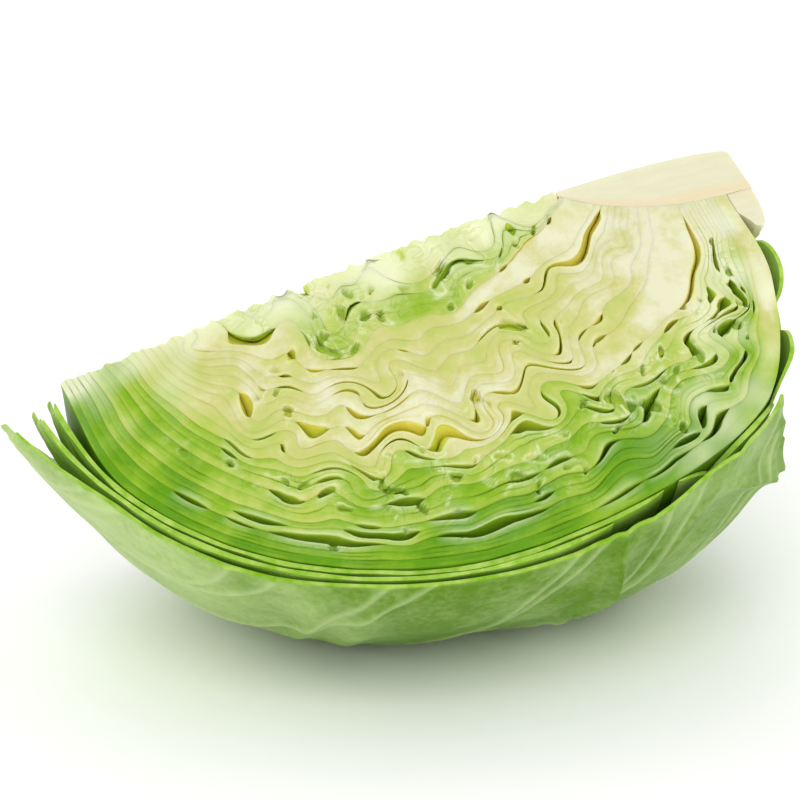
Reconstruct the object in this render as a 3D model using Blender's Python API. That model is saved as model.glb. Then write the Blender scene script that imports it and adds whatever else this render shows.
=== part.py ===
"""Quarter wedge of a white cabbage head, lying on its loose wrapper leaf.

Metres, +Z up. The head is a nest of leaves that grow from a short core and close over its tip.
Two flat cuts meet in a straight ridge, which was the middle of the whole head. Every leaf is
therefore a band of the same family of curves, turned about the ridge from the back cut to the
front cut. A place on the head is given by three values: how far along the ridge from the trimmed
stem, how far out from the ridge, and the turn about the ridge from straight down.
"""
import math

import bpy
from mathutils import Vector

# Overall sizes of the whole head and of the piece cut from it
HEAD_LENGTH = 0.158
HEAD_RADIUS = 0.074
CUT_FRONT = math.radians(58.0)
CUT_BACK = math.radians(-32.0)
HEAD_TILT = math.radians(11.9)
RIDGE_RISE = 0.005
RIDGE_RISE_FADE = 0.006

# Core and the stub of an old leaf beside it
CORE_LENGTH = 0.042
CORE_RADIUS = 0.0110
CORE_TAPER = 2.2
LAST_LEAF_SEAT = 0.0062
SEAT_REACH = 0.12
STUB_REACH = 0.0105
STUB_THICKNESS = 0.0036
STUB_CURL = 0.35
STUB_TAPER = 0.8

# Leaves
LEAF_GAP = 0.0003
RIDGE_CLEARANCE = 0.0006
THINNEST_LEAF = 0.0005

# Loose leaves outside the head
OUTER_LEAF_THICKNESS = 0.0012
WRAPPER_THICKNESS = 0.0013
MIDRIB_THICKNESS = 0.0024
MIDRIB_HALF_ANGLE = math.radians(26.0)
MIDRIB_TURN = math.radians(6.0)
MIDRIB_FADE = (0.72, 0.95)
TIP_FAN = 0.0098
TIP_FAN_FROM = 0.84
STEM_SIDE_STAND_OFF = 0.0078
STAND_OFF_RISE = (0.16, 0.36)
STAND_OFF_FALL = (0.40, 0.56)
STAND_OFF_TURN = (math.radians(9.0), math.radians(43.0))
STAND_OFF_EDGE = 0.15
FLAT_SPOT_DEPTH = 0.0024
FLOOR_WALL = 0.0012

# Curves that leaves follow, from the middle of the head outwards. A curve starts on the core, at a
# share of the core's length. Its other points are given by two shares: of the way from that seat
# to the head's tip, and of the head's radius. The last value is where it ends on the ridge. The
# skin's seat is a size of its own, LAST_LEAF_SEAT.
GUIDES = (
    (0.965, ((0.021, 0.030), (0.098, 0.043), (0.183, 0.057), (0.285, 0.065), (0.387, 0.057),
             (0.481, 0.038)), 0.557),
    (0.830, ((0.058, 0.115), (0.147, 0.176), (0.269, 0.236), (0.416, 0.277), (0.562, 0.264),
             (0.692, 0.162)), 0.773),
    (0.660, ((0.041, 0.189), (0.125, 0.324), (0.279, 0.459), (0.478, 0.514), (0.662, 0.432),
             (0.793, 0.230)), 0.847),
    (0.400, ((0.023, 0.338), (0.108, 0.520), (0.292, 0.676), (0.533, 0.730), (0.731, 0.622),
             (0.865, 0.338)), 0.922),
    (None, ((0.015, 0.473), (0.124, 0.838), (0.354, 0.986), (0.618, 0.973), (0.842, 0.750),
            (0.980, 0.392)), 1.0),
)

# Where the innermost bud starts and ends along the first guide curve
BUD_SPAN = (0.06, 0.985)

# One row for each leaf, inside to outside: its share of the layers at the core and at the tip.
# The leaves with a large share at the core are the ones cut through a thick rib.
LEAF_SHARES = (
    [(0.010, 1.2)] * 3
    + [(0.240, 1.2)]
    + [(0.045, 1.1)] * 7
    + [(0.150, 1.0)]
    + [(0.021, 0.9)] * 5
    + [(0.021, 0.6)] * 4
    + [(0.075, 0.6)]
)
SHARES_CHANGE_FROM = 0.10
SHARES_CHANGE_TO = 0.54

STATIONS = 15
TURNS = 7
SHEET_STEPS = 29
WRAPPER_TURNS = 17

CREAM = (0.83, 0.82, 0.62)
HEART_YELLOW = (0.80, 0.79, 0.45)
OUTER_GREEN = (0.30, 0.52, 0.07)
WRAPPER_GREEN = (0.42, 0.60, 0.20)

ALONG = Vector((-math.cos(HEAD_TILT), 0.0, -math.sin(HEAD_TILT)))
DOWN = Vector((math.sin(HEAD_TILT), 0.0, -math.cos(HEAD_TILT)))
FORWARD = Vector((0.0, -1.0, 0.0))
FRONT = DOWN * math.cos(CUT_FRONT) + FORWARD * math.sin(CUT_FRONT)


def place(along, out, turn):
    """Point at a distance along the ridge, a distance out from it and a turn about it.

    The ridge arches a little out of line, in the plane of the front cut.
    """
    share = min(1.0, max(0.0, along / HEAD_LENGTH))
    rise = RIDGE_RISE * math.sin(math.pi * share ** 0.6) * math.exp(-out / RIDGE_RISE_FADE)
    return ALONG * along + (DOWN * math.cos(turn) + FORWARD * math.sin(turn)) * out - FRONT * rise


def spread(first, last, count):
    """Evenly spaced values from first to last."""
    return [first + (last - first) * i / (count - 1) for i in range(count)]


def ease(value, start, stop):
    """Smooth step from 0 at start to 1 at stop."""
    x = min(1.0, max(0.0, (value - start) / (stop - start)))
    return x * x * (3.0 - 2.0 * x)


def through(points, t):
    """Smooth curve through points, read at t between 0 and 1."""
    last = len(points) - 1
    i = min(last - 1, int(t * last))
    x = t * last - i
    p1, p2 = points[i], points[i + 1]
    p0 = points[i - 1] if i > 0 else p1 * 2.0 - p2
    p3 = points[i + 2] if i + 2 <= last else p2 * 2.0 - p1
    bend = (p1 * 3.0 - p0 - p2 * 3.0 + p3) * x + (p0 * 2.0 - p1 * 5.0 + p2 * 4.0 - p3)
    return (bend * x + (p2 - p0)) * x * 0.5 + p1


def core_radius(along):
    """Radius of the core at a distance from the trimmed stem."""
    return CORE_RADIUS * (1.0 - (along / CORE_LENGTH) ** CORE_TAPER)


def guide_points(guide):
    """Points of one guide curve in metres, as (along, out) pairs."""
    seat_share, shares, tip_share = guide
    seat = LAST_LEAF_SEAT if seat_share is None else CORE_LENGTH * seat_share
    reach = HEAD_LENGTH - seat
    points = [Vector((seat, core_radius(seat) + LEAF_GAP))]
    points += [Vector((seat + x * reach, y * HEAD_RADIUS)) for x, y in shares]
    points.append(Vector((seat + tip_share * reach, RIDGE_CLEARANCE)))
    return points


GUIDE_POINTS = [guide_points(guide) for guide in GUIDES]


def layer(s, t):
    """Point of the layer s (0 inside, 1 the skin) at t (0 at the core, 1 at the ridge)."""
    last = len(GUIDE_POINTS) - 1
    i = min(last - 1, int(s * last))
    x = s * last - i
    low, high = GUIDE_POINTS[i], GUIDE_POINTS[i + 1]
    point = through(low, t) * (1.0 - x) + through(high, t) * x
    base = low[0] * (1.0 - x) + high[0] * x
    seat = Vector((base.x, core_radius(base.x) + LEAF_GAP))
    return point + (seat - base) * max(0.0, 1.0 - t / SEAT_REACH)


def outward(s, t):
    """Unit normal of a layer at t, pointing away from the middle of the head."""
    step = 0.004
    run = layer(s, min(1.0, t + step)) - layer(s, max(0.0, t - step))
    return Vector((-run.y, run.x)).normalized()


def layer_depth(s, t):
    """Distance across the layers at a place, per unit of s."""
    step = 0.004
    low = max(0.0, s - step)
    high = min(1.0, s + step)
    return (layer(high, t) - layer(low, t)).dot(outward(s, t)) / (high - low)


def borders():
    """For each border between two leaves, its s at the core and its s at the tip."""
    core_sum = sum(share[0] for share in LEAF_SHARES)
    tip_sum = sum(share[1] for share in LEAF_SHARES)
    rows = [(0.0, 0.0)]
    for core_share, tip_share in LEAF_SHARES:
        at_core, at_tip = rows[-1]
        rows.append((at_core + core_share / core_sum, at_tip + tip_share / tip_sum))
    return rows


def border_s(row, t):
    """s of a border between two leaves at t."""
    mix = ease(t, SHARES_CHANGE_FROM, SHARES_CHANGE_TO)
    return min(1.0, row[0] * (1.0 - mix) + row[1] * mix)


def material(name, colour, roughness):
    """Plain non-metallic material."""
    made = bpy.data.materials.new(name)
    made.use_nodes = True
    shader = made.node_tree.nodes["Principled BSDF"]
    shader.inputs["Base Color"].default_value = (*colour, 1.0)
    shader.inputs["Roughness"].default_value = roughness
    shader.inputs["Metallic"].default_value = 0.0
    return made


def grid_faces(rows, columns, start, flip):
    """Triangles of a grid of points, all cut along the same diagonal."""
    faces = []
    for k in range(rows - 1):
        for j in range(columns - 1):
            a = start + k * columns + j
            b = a + columns
            pair = [(a, b, b + 1), (a, b + 1, a + 1)]
            faces += [face[::-1] for face in pair] if flip else pair
    return faces


def shell(name, inside, outside, colour, parent):
    """Closed leaf between two grids of points with the same rows and columns."""
    rows, columns = len(inside), len(inside[0])
    count = rows * columns
    points = [p for row in outside for p in row] + [p for row in inside for p in row]
    faces = grid_faces(rows, columns, 0, True) + grid_faces(rows, columns, count, False)
    edge = list(range(columns))
    edge += [k * columns + columns - 1 for k in range(1, rows)]
    edge += [(rows - 1) * columns + j for j in range(columns - 2, -1, -1)]
    edge += [k * columns for k in range(rows - 2, 0, -1)]
    for a, b in zip(edge, edge[1:] + edge[:1]):
        faces += [(b, a, a + count), (b, a + count, b + count)]
    mesh = bpy.data.meshes.new(name)
    mesh.from_pydata([tuple(p) for p in points], [], faces)
    mesh.materials.append(material(name, colour, 0.5))
    mesh.shade_smooth()
    mesh.set_sharp_from_angle(angle=math.radians(40.0))
    piece = bpy.data.objects.new(name, mesh)
    piece.parent = parent
    bpy.context.scene.collection.objects.link(piece)
    return piece


def turned(name, inner, outer, colour, parent):
    """Closed piece between two outlines of (along, out) points, turned from cut to cut."""
    turns = spread(CUT_BACK, CUT_FRONT, TURNS)
    inside = [[place(p.x, p.y, turn) for turn in turns] for p in inner]
    outside = [[place(p.x, p.y, turn) for turn in turns] for p in outer]
    return shell(name, inside, outside, colour, parent)


def mixed(colour, other, share):
    """Colour between two colours."""
    return tuple(a + (b - a) * share for a, b in zip(colour, other))


def make_core(parent):
    """The stem inside the head: a blunt cone with a flat trimmed end."""
    along = spread(0.0, CORE_LENGTH - RIDGE_CLEARANCE * 2.0, 9)
    outer = [Vector((a, core_radius(a))) for a in along]
    inner = [Vector((a, RIDGE_CLEARANCE * 0.5)) for a in along]
    turned("core", inner, outer, CREAM, parent)


def make_stem_stub(parent):
    """The base of a leaf that was broken off beside the trimmed stem."""
    inner = []
    outer = []
    for share in spread(0.0, 1.0, 6):
        seat = core_radius(STUB_THICKNESS * 0.5) + LEAF_GAP
        out = seat + STUB_REACH * share
        half = STUB_THICKNESS * 0.5 * math.sqrt(1.0 - STUB_TAPER * share ** 3)
        middle = STUB_THICKNESS * (0.5 + STUB_CURL * share ** 2) + LEAF_GAP
        outer.append(Vector((middle - half, out)))
        inner.append(Vector((middle + half, out)))
    turned("stem_stub", inner, outer, CREAM, parent)


def make_heart_bud(parent):
    """The tightest leaves in the middle, which close on the ridge beyond the core."""
    steps = spread(*BUD_SPAN, STATIONS)
    outer = [layer(0.0, t) - outward(0.0, t) * LEAF_GAP * 0.5 for t in steps]
    inner = [Vector((p.x, min(RIDGE_CLEARANCE * 0.5, p.y * 0.5))) for p in outer]
    turned("heart_bud", inner, outer, HEART_YELLOW, parent)


def make_leaves(parent):
    """The leaves that wrap one another, inside to outside."""
    rows = borders()
    for number, (low, high) in enumerate(zip(rows, rows[1:]), start=1):
        inner = []
        outer = []
        for t in spread(0.0, 1.0, STATIONS):
            s_low = border_s(low, t)
            s_high = border_s(high, t)
            start = layer(s_low, t) + outward(s_low, t) * LEAF_GAP * 0.5
            stop = layer(s_high, t) - outward(s_high, t) * LEAF_GAP * 0.5
            thickness = (s_high - s_low) * layer_depth((s_low + s_high) * 0.5, t) - LEAF_GAP
            if thickness >= THINNEST_LEAF:
                inner.append(start)
                outer.append(stop)
        green = (number / len(LEAF_SHARES)) ** 3
        turned(f"leaf_{number:02d}", inner, outer, mixed(HEART_YELLOW, OUTER_GREEN, green), parent)


def sheet_stations(first, last):
    """The places along the skin, shared by all loose leaves, that one leaf covers."""
    return [t for t in spread(0.0, 1.0, SHEET_STEPS) if first <= t <= last]


def sheet_offset(points, t):
    """Offset of a loose leaf from the skin at t, read from (t, offset) points."""
    for (t0, off0), (t1, off1) in zip(points, points[1:]):
        if t <= t1:
            return off0 + (off1 - off0) * ease(t, t0, t1)
    return points[-1][1]


STACK = OUTER_LEAF_THICKNESS + LEAF_GAP
SECOND = LEAF_GAP + STACK
# Each outer leaf: where it starts and ends along the skin, and its (t, offset) points.
OUTER_LEAVES = (
    (0.42, 0.97, ((0.42, LEAF_GAP), (TIP_FAN_FROM, LEAF_GAP), (1.0, TIP_FAN * 0.30))),
    (0.46, 0.97, ((0.46, SECOND), (TIP_FAN_FROM, SECOND), (1.0, TIP_FAN * 0.72))),
    (0.06, 0.40, ((0.06, LEAF_GAP * 2.0), (0.20, SECOND), (0.40, LEAF_GAP))),
)
WRAPPER_BASE = LEAF_GAP + STACK * 2.0
WRAPPER_START = 0.27
WRAPPER_END = 0.97


def make_outer_leaves(parent):
    """Loose leaves that hug the head, with tips that fan out past it."""
    for number, (first, last, points) in enumerate(OUTER_LEAVES, start=1):
        inner = []
        outer = []
        for t in sheet_stations(first, last):
            near = sheet_offset(points, t)
            inner.append(layer(1.0, t) + outward(1.0, t) * near)
            outer.append(layer(1.0, t) + outward(1.0, t) * (near + OUTER_LEAF_THICKNESS))
        turned(f"outer_leaf_{number}", inner, outer, OUTER_GREEN, parent)


def wrapper_offset(t, turn):
    """Offset of the wrapper leaf's inner face from the skin."""
    tip = (TIP_FAN + LEAF_GAP) * ease(t, TIP_FAN_FROM, 1.0)
    stem_side = STEM_SIDE_STAND_OFF * (ease(t, *STAND_OFF_RISE) - ease(t, *STAND_OFF_FALL))
    under = 1.0 - (1.0 - STAND_OFF_EDGE) * ease(abs(turn - MIDRIB_TURN), *STAND_OFF_TURN)
    return WRAPPER_BASE + tip + max(stem_side, 0.0) * under


def wrapper_thickness(t, turn):
    """Thickness of the wrapper leaf: thin blade, thick midrib underneath."""
    across = max(0.0, 1.0 - (abs(turn - MIDRIB_TURN) / MIDRIB_HALF_ANGLE) ** 2)
    return WRAPPER_THICKNESS + MIDRIB_THICKNESS * across * (1.0 - ease(t, *MIDRIB_FADE))


def floor_height():
    """Height of the surface that the wedge lies on, measured from the trimmed stem's middle."""
    low = 0.0
    for t in sheet_stations(0.0, TIP_FAN_FROM):
        off = WRAPPER_BASE + wrapper_thickness(t, MIDRIB_TURN)
        p = layer(1.0, t) + outward(1.0, t) * off
        low = min(low, place(p.x, p.y, 0.0).z)
    return low + FLAT_SPOT_DEPTH


def make_wrapper_leaf(parent):
    """The loose outer leaf that the wedge lies on, pressed flat underneath."""
    floor = floor_height()
    turns = spread(CUT_BACK, CUT_FRONT, WRAPPER_TURNS)
    inside = []
    outside = []
    for t in sheet_stations(WRAPPER_START, WRAPPER_END):
        base = layer(1.0, t)
        normal = outward(1.0, t)
        inside.append([])
        outside.append([])
        for turn in turns:
            near = wrapper_offset(t, turn)
            p = base + normal * near
            q = base + normal * (near + wrapper_thickness(t, turn))
            inner_point = place(p.x, p.y, turn)
            outer_point = place(q.x, q.y, turn)
            inner_point.z = max(inner_point.z, floor + FLOOR_WALL)
            outer_point.z = max(outer_point.z, floor)
            inside[-1].append(inner_point)
            outside[-1].append(outer_point)
    return shell("wrapper_leaf", inside, outside, WRAPPER_GREEN, parent)


def set_origin(root, pieces):
    """Move the whole piece so that its box's bottom centre is at the origin."""
    points = [v.co for piece in pieces for v in piece.data.vertices]
    low = [min(p[i] for p in points) for i in range(3)]
    high = [max(p[i] for p in points) for i in range(3)]
    root.location = (-(low[0] + high[0]) * 0.5, -(low[1] + high[1]) * 0.5, -low[2])


def main():
    """Build the cabbage wedge."""
    for old in list(bpy.data.objects):
        bpy.data.objects.remove(old, do_unlink=True)
    root = bpy.data.objects.new("cabbage_wedge", None)
    bpy.context.scene.collection.objects.link(root)
    make_core(root)
    make_stem_stub(root)
    make_heart_bud(root)
    make_leaves(root)
    make_outer_leaves(root)
    make_wrapper_leaf(root)
    set_origin(root, [item for item in bpy.data.objects if item.type == "MESH"])


main()
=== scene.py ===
# %% [markdown]
# # A quarter wedge of a white cabbage
#
# A cabbage head is a nest of leaves that grow from a short core and close over its tip. This
# script dresses a plain solid model of one quarter of such a head. Every leaf of the solid model
# gets a finished mesh in its place: crumpled bands where the knife went through, small hollows
# between the leaves, a fibrous core, and a loose wrapper leaf with veins underneath.
#
# The solid model is loaded first, because every position below is worked out from it.

# %% Load the solid model
import math

import bpy
import numpy as np
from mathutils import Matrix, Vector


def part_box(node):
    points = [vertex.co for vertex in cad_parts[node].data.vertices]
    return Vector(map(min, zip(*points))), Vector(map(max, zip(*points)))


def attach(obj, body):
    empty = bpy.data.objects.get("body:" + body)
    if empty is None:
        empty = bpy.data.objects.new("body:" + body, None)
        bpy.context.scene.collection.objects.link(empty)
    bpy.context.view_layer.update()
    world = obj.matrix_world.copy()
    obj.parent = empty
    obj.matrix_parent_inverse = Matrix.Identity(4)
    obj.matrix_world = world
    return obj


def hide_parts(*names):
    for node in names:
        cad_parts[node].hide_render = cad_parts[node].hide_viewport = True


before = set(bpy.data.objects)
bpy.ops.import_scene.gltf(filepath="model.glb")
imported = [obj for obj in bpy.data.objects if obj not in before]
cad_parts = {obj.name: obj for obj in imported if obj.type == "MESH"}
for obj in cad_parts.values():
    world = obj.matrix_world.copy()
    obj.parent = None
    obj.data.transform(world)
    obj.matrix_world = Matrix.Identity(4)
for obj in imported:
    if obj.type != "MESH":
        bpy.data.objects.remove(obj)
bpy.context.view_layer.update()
MM = 0.001
print("pieces in the solid model:", len(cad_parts))

# %% [markdown]
# ## Sizes of the head
#
# All leaves belong to one family of curves. A place in the head is given by three values: how far
# along the ridge from the trimmed stem, how far out from the ridge, and the turn about the ridge
# from straight down. The two flat cuts are at the first and last turn. These sizes repeat the
# solid model's, so that every finished leaf starts from where its plain one lies.

# %% Sizes of the head
HEAD_LENGTH = 0.158
HEAD_RADIUS = 0.074
CUT_FRONT = math.radians(58.0)
CUT_BACK = math.radians(-32.0)
HEAD_TILT = math.radians(11.9)
RIDGE_RISE = 0.005
RIDGE_RISE_FADE = 0.006
RIDGE_CLEARANCE = 0.0006
CORE_LENGTH = 0.042
CORE_RADIUS = 0.0110
CORE_TAPER = 2.2
LAST_LEAF_SEAT = 0.0062
SEAT_REACH = 0.12
LEAF_GAP = 0.0003
CORE_JOINT = 0.00002

ALONG = np.array((-math.cos(HEAD_TILT), 0.0, -math.sin(HEAD_TILT)))
DOWN = np.array((math.sin(HEAD_TILT), 0.0, -math.cos(HEAD_TILT)))
FORWARD = np.array((0.0, -1.0, 0.0))
FRONT = DOWN * math.cos(CUT_FRONT) + FORWARD * math.sin(CUT_FRONT)
INTO_FRONT = DOWN * math.sin(CUT_FRONT) - FORWARD * math.cos(CUT_FRONT)
INTO_BACK = -DOWN * math.sin(CUT_BACK) + FORWARD * math.cos(CUT_BACK)

core_low, core_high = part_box("core")
STEM_END = np.array((
    core_high.x - CORE_RADIUS * math.sin(HEAD_TILT) * math.cos(math.radians(2.0)),
    core_low.y + CORE_RADIUS * math.sin(CUT_FRONT),
    core_high.z + RIDGE_CLEARANCE * 0.5 * math.cos(CUT_FRONT) * math.cos(HEAD_TILT),
))
print("middle of the trimmed stem:", STEM_END.round(4))


# %% Curves that the leaves follow
GUIDES = (
    (0.965, ((0.021, 0.030), (0.098, 0.043), (0.183, 0.057), (0.285, 0.065), (0.387, 0.057),
             (0.481, 0.038)), 0.557),
    (0.830, ((0.058, 0.115), (0.147, 0.176), (0.269, 0.236), (0.416, 0.277), (0.562, 0.264),
             (0.692, 0.162)), 0.773),
    (0.660, ((0.041, 0.189), (0.125, 0.324), (0.279, 0.459), (0.478, 0.514), (0.662, 0.432),
             (0.793, 0.230)), 0.847),
    (0.400, ((0.023, 0.338), (0.108, 0.520), (0.292, 0.676), (0.533, 0.730), (0.731, 0.622),
             (0.865, 0.338)), 0.922),
    (None, ((0.015, 0.473), (0.124, 0.838), (0.354, 0.986), (0.618, 0.973), (0.842, 0.750),
            (0.980, 0.392)), 1.0),
)


def ease(value, start, stop):
    """Smooth step from 0 at start to 1 at stop."""
    x = np.clip((value - start) / (stop - start), 0.0, 1.0)
    return x * x * (3.0 - 2.0 * x)


def core_radius(along):
    """Radius of the core at a distance from the trimmed stem."""
    return CORE_RADIUS * (1.0 - np.clip(along / CORE_LENGTH, 0.0, 1.0) ** CORE_TAPER)


def guide_points(guide):
    """Points of one guide curve, with one more beyond each end."""
    seat_share, shares, tip_share = guide
    seat = LAST_LEAF_SEAT if seat_share is None else CORE_LENGTH * seat_share
    reach = HEAD_LENGTH - seat
    points = [(seat, core_radius(seat) + LEAF_GAP)]
    points += [(seat + x * reach, y * HEAD_RADIUS) for x, y in shares]
    points.append((seat + tip_share * reach, RIDGE_CLEARANCE))
    points = np.array(points)
    first = points[0] * 2.0 - points[1]
    last = points[-1] * 2.0 - points[-2]
    return np.vstack((first, points, last))


GUIDE_POINTS = np.stack([guide_points(guide) for guide in GUIDES])
SPANS = len(GUIDES[0][1]) + 1


def layer(s, t):
    """Points of the layers s (0 inside, 1 the skin) at t (0 at the core, 1 at the ridge)."""
    s, t = np.broadcast_arrays(np.asarray(s, float), np.asarray(t, float))
    span = np.clip((t * SPANS).astype(int), 0, SPANS - 1)
    x = (t * SPANS - span)[..., None]
    last = len(GUIDES) - 1
    low = np.clip((s * last).astype(int), 0, last - 1)
    y = (s * last - low)[..., None]
    point, base = 0.0, 0.0
    for row, share in ((low, 1.0 - y), (low + 1, y)):
        p0, p1, p2, p3 = (GUIDE_POINTS[row, span + i] for i in range(4))
        bend = (p1 * 3.0 - p0 - p2 * 3.0 + p3) * x + (p0 * 2.0 - p1 * 5.0 + p2 * 4.0 - p3)
        point = point + ((bend * x + (p2 - p0)) * x * 0.5 + p1) * share
        base = base + GUIDE_POINTS[row, 1] * share
    seat = np.stack((base[..., 0], core_radius(base[..., 0]) + CORE_JOINT), -1)
    return point + (seat - base) * np.maximum(0.0, 1.0 - t / SEAT_REACH)[..., None]


def outward(s, t):
    """Unit normals of the layers, pointing away from the middle of the head."""
    step = 0.004
    run = layer(s, np.minimum(1.0, t + step)) - layer(s, np.maximum(0.0, t - step))
    normal = np.stack((-run[..., 1], run[..., 0]), -1)
    return normal / np.linalg.norm(normal, axis=-1, keepdims=True)


def layer_depth(s, t):
    """Distance across the layers at a place, for each unit of s."""
    step = 0.004
    low, high = np.maximum(0.0, s - step), np.minimum(1.0, s + step)
    return ((layer(high, t) - layer(low, t)) * outward(s, t)).sum(-1) / (high - low)


print("skin is widest at", float(layer(1.0, np.linspace(0, 1, 200))[:, 1].max().round(4)))


# %% [markdown]
# ## From a place in the head to a point in space
#
# A sum of a few sine waves with seeded directions is smooth and fast, so it is used for all the
# small irregular things: ragged edges, tones and folds.

# %% Placing points, and smooth noise
RAGGED_RIDGE = 0.55 * MM
RAGGED_FADE = 2.0 * MM


def waves(seed, shortest, longest, count=9):
    """Random directions, phases and lengths of sine waves in three dimensions."""
    dice = np.random.default_rng(seed)
    length = np.exp(dice.uniform(math.log(shortest), math.log(longest), count))
    way = dice.normal(size=(count, 3))
    way /= np.linalg.norm(way, axis=1, keepdims=True)
    return way * (2.0 * math.pi / length)[:, None], dice.uniform(0.0, 2.0 * math.pi, count)


def noise(made, a, b=0.0, c=0.0):
    """Smooth noise, mostly between -1 and 1, from a set of waves."""
    way, phase = made
    total = 0.0
    for w, p in zip(way, phase):
        total = total + np.sin(a * w[0] + b * w[1] + c * w[2] + p)
    return total / math.sqrt(len(way) * 0.5) * 0.6


RIDGE_TEETH = waves(3, 1.6 * MM, 6.0 * MM, 12)


def place(along, out, turn):
    """Points at a distance along the ridge, out from it, and at a turn about it."""
    share = np.clip(along / HEAD_LENGTH, 0.0, 1.0)
    rise = RIDGE_RISE * np.sin(math.pi * share ** 0.6) * np.exp(-out / RIDGE_RISE_FADE)
    teeth = noise(RIDGE_TEETH, along) * ease(along, 0.030, 0.045)
    rise = rise + RAGGED_RIDGE * teeth * np.exp(-out / RAGGED_FADE)
    way = np.cos(turn)[..., None] * DOWN + np.sin(turn)[..., None] * FORWARD
    return STEM_END + along[..., None] * ALONG + out[..., None] * way - rise[..., None] * FRONT


print("a tooth of the ridge:", float(noise(RIDGE_TEETH, np.array(0.08))))


# %% [markdown]
# ## Camera
#
# The head is looked at from a little to its left and above, from about half a metre, with a long
# lens.

# %% Camera
def add_object(name, data):
    """Put an object with this data into the scene."""
    made = bpy.data.objects.new(name, data)
    bpy.context.scene.collection.objects.link(made)
    return made


VIEW_TURN = math.radians(-22.0)
VIEW_HEIGHT = math.radians(22.0)
VIEW_DISTANCE = 0.525
VIEW_SHIFT = (-0.0015, -0.0294)
LENS = 110.0

back = np.array((
    math.sin(VIEW_TURN) * math.cos(VIEW_HEIGHT),
    -math.cos(VIEW_TURN) * math.cos(VIEW_HEIGHT),
    math.sin(VIEW_HEIGHT),
))
right = np.array((math.cos(VIEW_TURN), math.sin(VIEW_TURN), 0.0))
up = np.cross(back, right)
aim = STEM_END + ALONG * HEAD_LENGTH * 0.5 + right * VIEW_SHIFT[0] + up * VIEW_SHIFT[1]
camera = add_object("camera", bpy.data.cameras.new("camera"))
camera.data.lens = LENS
camera.location = aim + back * VIEW_DISTANCE
camera.rotation_mode = "QUATERNION"
camera.rotation_quaternion = Vector(-back).to_track_quat("-Z", "Y")
bpy.context.scene.camera = camera
print("camera at", np.round(camera.location, 3))


# %% [markdown]
# ## Meshes from grids of points
#
# Every piece below is a closed skin of four-sided faces. A mesh is filled from arrays, and turned
# the right way out by the sign of the volume that it holds.

# %% Mesh helper
SHARP_ANGLE = math.radians(48.0)


def volume(points, faces):
    """Volume held by a closed mesh of four-sided faces: negative if it is inside out."""
    a, b, c, d = (points[faces[:, i]] for i in range(4))
    return float((np.cross(a, b) * c + np.cross(a, c) * d).sum() / 6.0)


def turned_out(points, faces):
    """The faces of a closed mesh, turned to point outwards."""
    return faces[:, ::-1] if volume(points - points.mean(0), faces) < 0.0 else faces


def two_grids(rows, columns):
    """Point numbers of a grid, and the faces of it and of a second one that looks away from it."""
    index = np.arange(rows * columns).reshape(rows, columns)
    a, b = index[:-1, :-1].ravel(), index[1:, :-1].ravel()
    c, d = index[1:, 1:].ravel(), index[:-1, 1:].ravel()
    return index, [np.stack((a, b, c, d), 1), np.stack((a, d, c, b), 1) + index.size]


def twice(first, second=None):
    """One flat list of two grids' values, or of one grid's values two times."""
    return np.concatenate((first.ravel(), (first if second is None else second).ravel()))


def put_attributes(mesh, attributes):
    """Store numbers or vectors on the points of a mesh."""
    for key, values in attributes.items():
        kind, field = ("FLOAT_VECTOR", "vector") if values.ndim == 2 else ("FLOAT", "value")
        made = mesh.attributes.new(key, kind, "POINT")
        made.data.foreach_set(field, values.astype(np.float32).ravel())


def add_piece(name, points, faces, material, attributes):
    """Make a closed piece that replaces the node of the same name and rides on the body."""
    faces = turned_out(points, faces)
    mesh = bpy.data.meshes.new(name)
    mesh.vertices.add(len(points))
    mesh.vertices.foreach_set("co", points.astype(np.float32).ravel())
    mesh.loops.add(faces.size)
    mesh.loops.foreach_set("vertex_index", faces.astype(np.int32).ravel())
    mesh.polygons.add(len(faces))
    mesh.polygons.foreach_set("loop_start", np.arange(0, faces.size, 4, dtype=np.int32))
    mesh.update(calc_edges=True)
    put_attributes(mesh, attributes)
    finish_piece(mesh, name, material)


def finish_piece(mesh, node, material):
    """Make a piece of a mesh, and say which node it replaces, its body and its finish."""
    mesh.shade_smooth()
    mesh.set_sharp_from_angle(angle=SHARP_ANGLE)
    mesh.materials.clear()
    mesh.materials.append(material)
    piece = add_object(node + "_finished", mesh)
    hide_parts(node)
    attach(piece, "root")
    MADE.append((piece.name, len(mesh.polygons) * 2))


MADE = []
print("ready to make", len(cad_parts), "pieces")
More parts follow.
